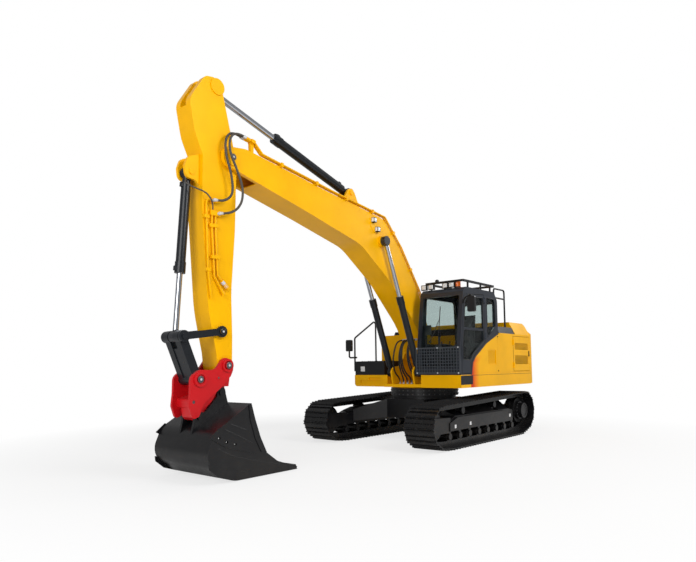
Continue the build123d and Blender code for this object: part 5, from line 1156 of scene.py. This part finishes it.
# %% Controls
CONSOLE_OUT = 0.3295
CAB_FLOOR_Z = 1.342
LEVER_X = 0.66
LEVER_Y = (0.79, 0.97)
DISPLAY_POST = (0.700, 0.520)
GRIP = ((0, 0.020), (0.03, 0.030), (0.09, 0.026), (0.13, 0.030), (0.15, 0.012))
controls = Kit()
grips = Kit()
for side in BOTH:
    y = SEAT_MID_Y + side * CONSOLE_OUT
    grips.turned((0.270, y, 2.015), (-0.12, 0, 1), GRIP)
    controls.block(x=(0.02, 0.20), y=around(y, 0.045), z=(1.882, 1.890), soft=0.003)
for y in LEVER_Y:
    foot_x = LEVER_X - 0.02
    lever = ((foot_x, y, CAB_FLOOR_Z), (foot_x, y, 1.60), (LEVER_X - 0.08, y, 1.92))
    controls.tube(lever, radius=0.011, bend=0.05)
    controls.block(x=(LEVER_X - 0.06, LEVER_X + 0.05), y=around(y, 0.05), z=(1.345, 1.375), soft=0.01)
controls.tube(((*DISPLAY_POST, CAB_FLOOR_Z), (*DISPLAY_POST, 2.05)), radius=0.016)
controls.block(x=(0.660, 0.690), y=(0.470, 0.620), z=(2.05, 2.24), soft=0.010)
controls.done("cab_controls", CAB_PLASTIC, "upper")
grips.done("joystick_grips", TRIM_BLACK, "upper")
screen = Kit()
screen.block(x=(0.657, 0.661), y=(0.480, 0.610), z=(2.065, 2.225), soft=0.002)
screen.done("cab_display", WINDOW_GLASS, "upper")

# %% [markdown]
# ## Seals, handle and wiper
# Rubber seals frame the panes of the door and of the window behind it. A seal is a thin tube laid round
# the pane's outline. The door's handle is a bent bar, and the wiper is a spindle, an arm and a straight
# blade that lies along the leaning front glass.

# %% Window seals
SEAL_R = 0.006
SEAL_BEND = 0.045
DOOR_WINDOW = (
    (0.745, 1.830), (0.625, 2.735), (-0.060, 2.770), (-0.070, 1.935), (0.325, 1.705), (0.455, 1.610),
    (0.470, 1.560), (0.745, 1.560),
)
REAR_WINDOW = ((-0.240, 1.990), (-0.235, 2.790), (-0.540, 2.780), (-0.585, 2.690), (-0.600, 2.240))


def seal(name, outline, body):
    """A rubber seal laid round an outline of the side view, on the flank."""
    ring = [at(x, SIDE_Y, z) for x, z in outline]
    start = (ring[0] + ring[-1]) / 2
    laid = Kit()
    skin(laid.mesh, rounded([start, *ring, start], SEAL_BEND), radius=SEAL_R, count=6)
    laid.done(name, HOSE_BLACK, body)


seal("door_window_seal", DOOR_WINDOW, "cab_door")
seal("rear_window_seal", REAR_WINDOW, "upper")

# %% Door handle
HANDLE_X = 0.725
HANDLE_OUT_Y = SIDE_Y + 0.045
HANDLE_Z = (1.60, 1.78)
handle = Kit()
handle.tube((
    (HANDLE_X, SIDE_Y, HANDLE_Z[0]), (HANDLE_X, HANDLE_OUT_Y, HANDLE_Z[0]),
    (HANDLE_X, HANDLE_OUT_Y, HANDLE_Z[1]), (HANDLE_X, SIDE_Y, HANDLE_Z[1]),
), radius=0.010, bend=0.02)
handle.done("door_handle", TRIM_BLACK, "cab_door")

# %% Wiper
SPINDLE = ((0, 0.010), (0.022, 0.010), (0.024, 0.020), (0.044, 0.017))
WIPER_ARM = ((0.866, 0.700, 1.905), (0.836, 0.790, 2.100), (0.796, 0.875, 2.330))
WIPER_BLADE = ((0.822, 0.875, 2.080), (0.746, 0.875, 2.580))
wiper = Kit()
wiper.turned((0.832, 0.700, 1.900), (1, 0, 0.15), SPINDLE, sides=14)
wiper.tube(WIPER_ARM, radius=0.006, bend=0.05, sides=8)
wiper.tube(WIPER_BLADE, radius=0.008, bend=0.03, sides=8)
wiper.done("wiper", TRIM_BLACK, "upper")

# %% [markdown]
# ## Small fittings outside the cab
# An aerial and the beacon's ring stand on the roof, a bare white square sits on the step box, and both
# mirrors have a silvered glass. The steps are studded against slipping, the tank has a cap, and three
# plain white squares sit on each track frame. All are thin plates, discs or turned parts, made from
# their sizes alone.

# %% Aerial, beacon ring, blank square and mirror glasses
AERIAL = ((0, 0.012), (0.030, 0.012), (0.034, 0.040), (0.060, 0.036), (0.075, 0.015))
BEACON_RING = ((0, 0.066), (0.018, 0.066), (0.022, 0.0585), (0.030, 0.0585))
roof_fittings = Kit()
roof_fittings.turned((0.600, 0.729, 3.050), UPWARDS, AERIAL)
roof_fittings.turned((0.500, 1.120, 2.931), UPWARDS, BEACON_RING, sides=24)
roof_fittings.done("aerial_and_beacon_ring", TRIM_BLACK, "upper")
blank_square = Kit()
blank_square.block(x=(0.629, 0.6325), y=(-1.185, -1.075), z=(1.355, 1.460), soft=0.001)
blank_square.done("blank_square", PLATE_WHITE, "upper")
mirror_glasses = Kit()
mirror_glasses.block(x=(0.7560, 0.7585), y=(1.500, 1.620), z=(2.450, 2.695), soft=0.001)
mirror_glasses.block(x=(0.5240, 0.5265), y=(-1.620, -1.500), z=(1.820, 2.020), soft=0.001)
mirror_glasses.done("mirror_glasses", MIRROR_SILVER, "upper")

# %% Step studs and tank cap
STUD_ROWS = 7
STUDS_IN_ROW = 4
ROW_PITCH = 0.070
STUD_PITCH = 0.180
FIRST_STUD = (0.575, -0.650, 1.571)
CAP = ((0, 0.055), (0.020, 0.055), (0.022, 0.048), (0.045, 0.048), (0.050, 0.040))
studs = []
for row in range(STUD_ROWS):
    for place in range(STUDS_IN_ROW):
        x, y, z = FIRST_STUD
        studs.append(((x - ROW_PITCH * row, y - STUD_PITCH * place, z), UPWARDS))
bolts(
    "step_studs", studs, radius=0.010, height=0.006, finish=CYLINDER_GREY, body="upper")
tank_cap = Kit()
tank_cap.turned((-0.55, -0.90, 2.149), UPWARDS, CAP, sides=18)
tank_cap.done("tank_cap", TRIM_BLACK, "upper")

# %% Squares on the track frames
FRAME_FACE_Y = 1.372
SQUARE_HALF = 0.030
# X and Z of the middle of each square
FRAME_MARKS = ((1.150, 0.380), (0.600, 0.392), (-1.080, 0.420))
squares = Kit()
for side in BOTH:
    for x, z in FRAME_MARKS:
        face_y = outwards(side, FRAME_FACE_Y - 0.001, FRAME_FACE_Y + 0.001)
        squares.block(x=around(x, SQUARE_HALF), y=face_y, z=around(z, SQUARE_HALF))
squares.done("frame_squares", PLATE_WHITE, "undercarriage")

# %% [markdown]
# ## Coupler and bucket
# The quick coupler has two small bores on each side. The bucket is welded from plates: thin beads of
# weld run along its sides, and the cutting edge is ground bright by the soil. A bead is a tube that is
# half sunk in the plate, and the bright edge is a thin strip let into it, because paint alone would not
# catch the light.

# %% Bores of the coupler
# X, Y of the face, Z, profile, sides
BORES = (
    (5.785, 0.2065, 1.020, ((0, 0.0215), (0.0012, 0.0215)), 20),
    (5.400, 0.2185, 1.325, ((0, 0.012), (0.0035, 0.012), (0.0045, 0.008)), 12),
)
bores = Kit()
for side in BOTH:
    for x, y, z, profile, sides in BORES:
        bores.turned((x, side * y, z), (0, side, 0), profile, sides)
bores.done("coupler_bores", PIN_STEEL, "bucket")

# %% Weld beads and worn edge of the bucket
BUCKET_SIDE_Y = 0.6005
BEAD_R = 0.0035
WELD_LINES = (
    ((5.500, 0.742), (5.378, 0.693), (5.240, 0.640)),
    ((5.580, 0.670), (5.428, 0.606), (5.142, 0.464)),
    ((5.700, 0.450), (5.476, 0.333), (5.095, 0.225), (4.640, 0.115)),
    ((5.720, 0.235), (5.586, 0.172), (5.300, 0.110), (4.964, 0.084)),
)
welds = Kit()
for side in BOTH:
    for line in WELD_LINES:
        welds.tube([(x, side * BUCKET_SIDE_Y, z) for x, z in line], radius=BEAD_R, bend=0.08, sides=6)
welds.done("bucket_welds", BUCKET_BLACK, "bucket")
worn_edge = Kit()
worn_edge.block(x=(4.316, 4.420), y=(-0.592, 0.592), z=(0.0085, 0.0105))
worn_edge.done("worn_cutting_edge", ZINC, "bucket")

# %% [markdown]
# ## Seams on the body
# Panels of the real body meet in dark gaps a few millimetres wide. A gap could be cut into the panels,
# but a thin dark line laid on the flank reads the same from a step away and leaves the CAD node whole.

# %% Seams on the body
SEAM_R = 0.003
SEAM_PROUD = 0.0005
SILL_SEAM_Z = 1.268
REAR_END_X = -2.280
PANEL_SEAM_X = -1.405
seams = Kit()
for side, front_x in ((1, 0.855), (-1, 0.630)):
    y = side * (SIDE_Y + SEAM_PROUD)
    seams.tube(((front_x, y, SILL_SEAM_Z), (REAR_END_X, y, SILL_SEAM_Z)), radius=SEAM_R, bend=0.0, sides=6)
    seams.tube(((PANEL_SEAM_X, y, 1.32), (PANEL_SEAM_X, y, 2.07)), radius=SEAM_R, bend=0.0, sides=6)
seams.done("body_seams", HOSE_BLACK, "upper")

# %% [markdown]
# ## Couplings of pipes and hoses
# Steel pipes and hoses end in zinc-plated nuts and sleeves. They are turned parts like the pins,
# hexagonal where a spanner grips them, and each sits on the body that its pipe belongs to, so that it
# moves with the pipe.

# %% Couplings on the pipes
PIPE_START = Vector((5.340, 0.191, 2.650))
PIPE_END = Vector((5.225, 0.191, 2.545))
ROUND_SLEEVE = ((0, 0.0250), (0.004, 0.0265), (0.05, 0.0265), (0.054, 0.0250))
HEX_SLEEVE = ((0, 0.0245), (0.004, 0.0262), (0.045, 0.0262), (0.049, 0.0245))
UNION = ((0, 0.0122), (0.003, 0.0185), (0.030, 0.0185), (0.033, 0.0122))
BOOM_PIPE_Y = (0.194, 0.224, 0.254)
BOOM_PIPE_Z = 4.760
along = (PIPE_END - PIPE_START).normalized()
sleeves = Kit()
sleeves.turned(PIPE_START + along * 0.015, along, ROUND_SLEEVE, sides=12)
sleeves.turned(PIPE_START + along * 0.080, along, HEX_SLEEVE, sides=6)
sleeves.done("arm_pipe_sleeves", ZINC, "arm")
unions = Kit()
for y in BOOM_PIPE_Y:
    unions.turned((4.880, y, BOOM_PIPE_Z), FORWARDS, UNION, sides=6)
unions.done("boom_pipe_unions", ZINC, "boom")

# %% Ends of the arm hoses
FITTING = (
    (0, 0.020), (0.006, 0.0225), (0.030, 0.0225), (0.036, 0.0195), (0.058, 0.0195), (0.062, 0.0165),
)
ELBOW = ((0, 0.022), (0.012, 0.022), (0.012, 0.017), (0.040, 0.017), (0.044, 0.012))
# X, Z and direction of the two hose ends on the arm
ARM_ENDS = ((5.400, 3.565, (-1, 0.06, 0.2)), (5.490, 3.735, (-1, 0.05, 0.1)))
boom_ends = Kit()
arm_ends = Kit()
for y in (BOOM_PIPE_Y[0], BOOM_PIPE_Y[2]):
    boom_ends.turned((4.957, y, BOOM_PIPE_Z), (1, 0, 0.08), FITTING)
for x, z, lean in ARM_ENDS:
    arm_ends.turned((x + 0.012, 0.233, z), lean, FITTING)
    arm_ends.turned((x, 0.207, z), LEFTWARDS, ELBOW)
boom_ends.done("hose_ends_boom", ZINC, "boom")
arm_ends.done("hose_ends_arm", ZINC, "arm")

# %% Ends of the foot hoses
BOOM_STUB = ((0, 0.022), (0.05, 0.022), (0.05, 0.018), (0.085, 0.018))
TURNTABLE_STUB = ((0, 0.024), (0.03, 0.024), (0.03, 0.018), (0.07, 0.018))
foot_ends = Kit()
turntable_ends = Kit()
for _, y, _, _ in FOOT_HOSES:
    foot_ends.turned((0.462, y, 1.996), (1, 0, -0.2), BOOM_STUB)
    turntable_ends.turned((0.520, y * TURNTABLE_SPREAD, 1.092), UPWARDS, TURNTABLE_STUB)
foot_ends.done("foot_hose_ends", ZINC, "boom")
turntable_ends.done("turntable_hose_ends", ZINC, "upper")

# %% [markdown]
# ## Floor and light
# A studio floor is a pale sheet that keeps the shadow and fades into the white behind it. A curved
# backdrop would show its bend in other views, so this floor is flat and turns to plain white with
# distance, as seen by the camera and through glass. The world gives an even light from all round, and
# three soft lamps give the bright side, the fill and the edge that show the form.

# %% Floor
FLOOR_HALF = 60.0
FLOOR_DROP = 0.001
FLOOR_CLEAR = 4.6
FLOOR_FADED = 1.8 * FLOOR_CLEAR
FLOOR_LIFT = 0.72
WHITE = (1, 1, 1, 1)


def floor_finish():
    """A matt grey that gives way to plain white, away from the machine."""
    finish = Finish("studio_floor", (0.80, 0.80, 0.80), 0.75)
    length = finish.node("ShaderNodeVectorMath", operation="LENGTH")
    finish.link(finish.place, length.inputs[0])
    away = length.outputs["Value"]
    fade = finish.span(away, low=FLOOR_LIFT, high=1.0, from_low=FLOOR_CLEAR, from_high=FLOOR_FADED)
    ray = finish.node("ShaderNodeLightPath").outputs
    seen = finish.maths("MAXIMUM", ray["Is Camera Ray"], ray["Is Transmission Ray"])
    white = finish.node("ShaderNodeEmission")
    white.inputs["Color"].default_value = WHITE
    blend = finish.node("ShaderNodeMixShader")
    finish.link(finish.times(fade, seen), blend.inputs[0])
    finish.link(finish.shader.outputs[0], blend.inputs[1])
    finish.link(white.outputs[0], blend.inputs[2])
    finish.link(blend.outputs[0], finish.tree.nodes["Material Output"].inputs["Surface"])
    return finish.material


corners = [(x * FLOOR_HALF, y * FLOOR_HALF, -FLOOR_DROP) for x, y in ((-1, -1), (1, -1), (1, 1), (-1, 1))]
floor_mesh = bpy.data.meshes.new("studio_floor")
floor_mesh.from_pydata(corners, [], [(0, 1, 2, 3)])
floor_mesh.materials.append(floor_finish())
studio_floor = linked("studio_floor", floor_mesh)
print("floor reaches", FLOOR_HALF, "m each way")


# %% World
def studio_world(seen, given):
    """A white world: its strength as seen by the camera or through glass, and as given to the machine."""
    world = bpy.data.worlds.new("studio_world")
    world.use_nodes = True
    tree = world.node_tree
    background = tree.nodes["Background"].inputs
    ray = tree.nodes.new("ShaderNodeLightPath").outputs
    eye = tree.nodes.new("ShaderNodeMath")
    eye.operation = "MAXIMUM"
    tree.links.new(ray["Is Camera Ray"], eye.inputs[0])
    tree.links.new(ray["Is Transmission Ray"], eye.inputs[1])
    strength = tree.nodes.new("ShaderNodeMapRange")
    strength.inputs["To Min"].default_value = given
    strength.inputs["To Max"].default_value = seen
    tree.links.new(eye.outputs[0], strength.inputs["Value"])
    tree.links.new(strength.outputs["Result"], background["Strength"])
    background["Color"].default_value = WHITE
    return world


bpy.context.scene.world = studio_world(seen=1.0, given=0.40)
print("world", bpy.context.scene.world.name)

# %% Lamps of the studio
# name, place, target, width, power in watts
SOFTBOXES = (
    ("key_softbox", (0.5, 11.0, 9.0), (0.5, 0.5, 1.8), 5.0, 800.0),
    ("fill_softbox", (12.0, 4.0, 5.5), (1.0, 0.0, 2.0), 6.0, 620.0),
    ("edge_softbox", (-9.0, 3.0, 7.5), (-1.5, 0.5, 1.5), 4.0, 260.0),
)
for name, place, target, width, power in SOFTBOXES:
    lamp_data = bpy.data.lights.new(name, "AREA")
    lamp_data.shape = "SQUARE"
    lamp_data.size = width
    lamp_data.energy = power
    lamp = linked(name, lamp_data)
    aim = (Vector(target) - Vector(place)).to_track_quat("-Z", "Y")
    lamp.matrix_world = Matrix.Translation(place) @ aim.to_matrix().to_4x4()
bpy.context.scene.view_settings.view_transform = "Standard"
print("studio lamps", len(SOFTBOXES))
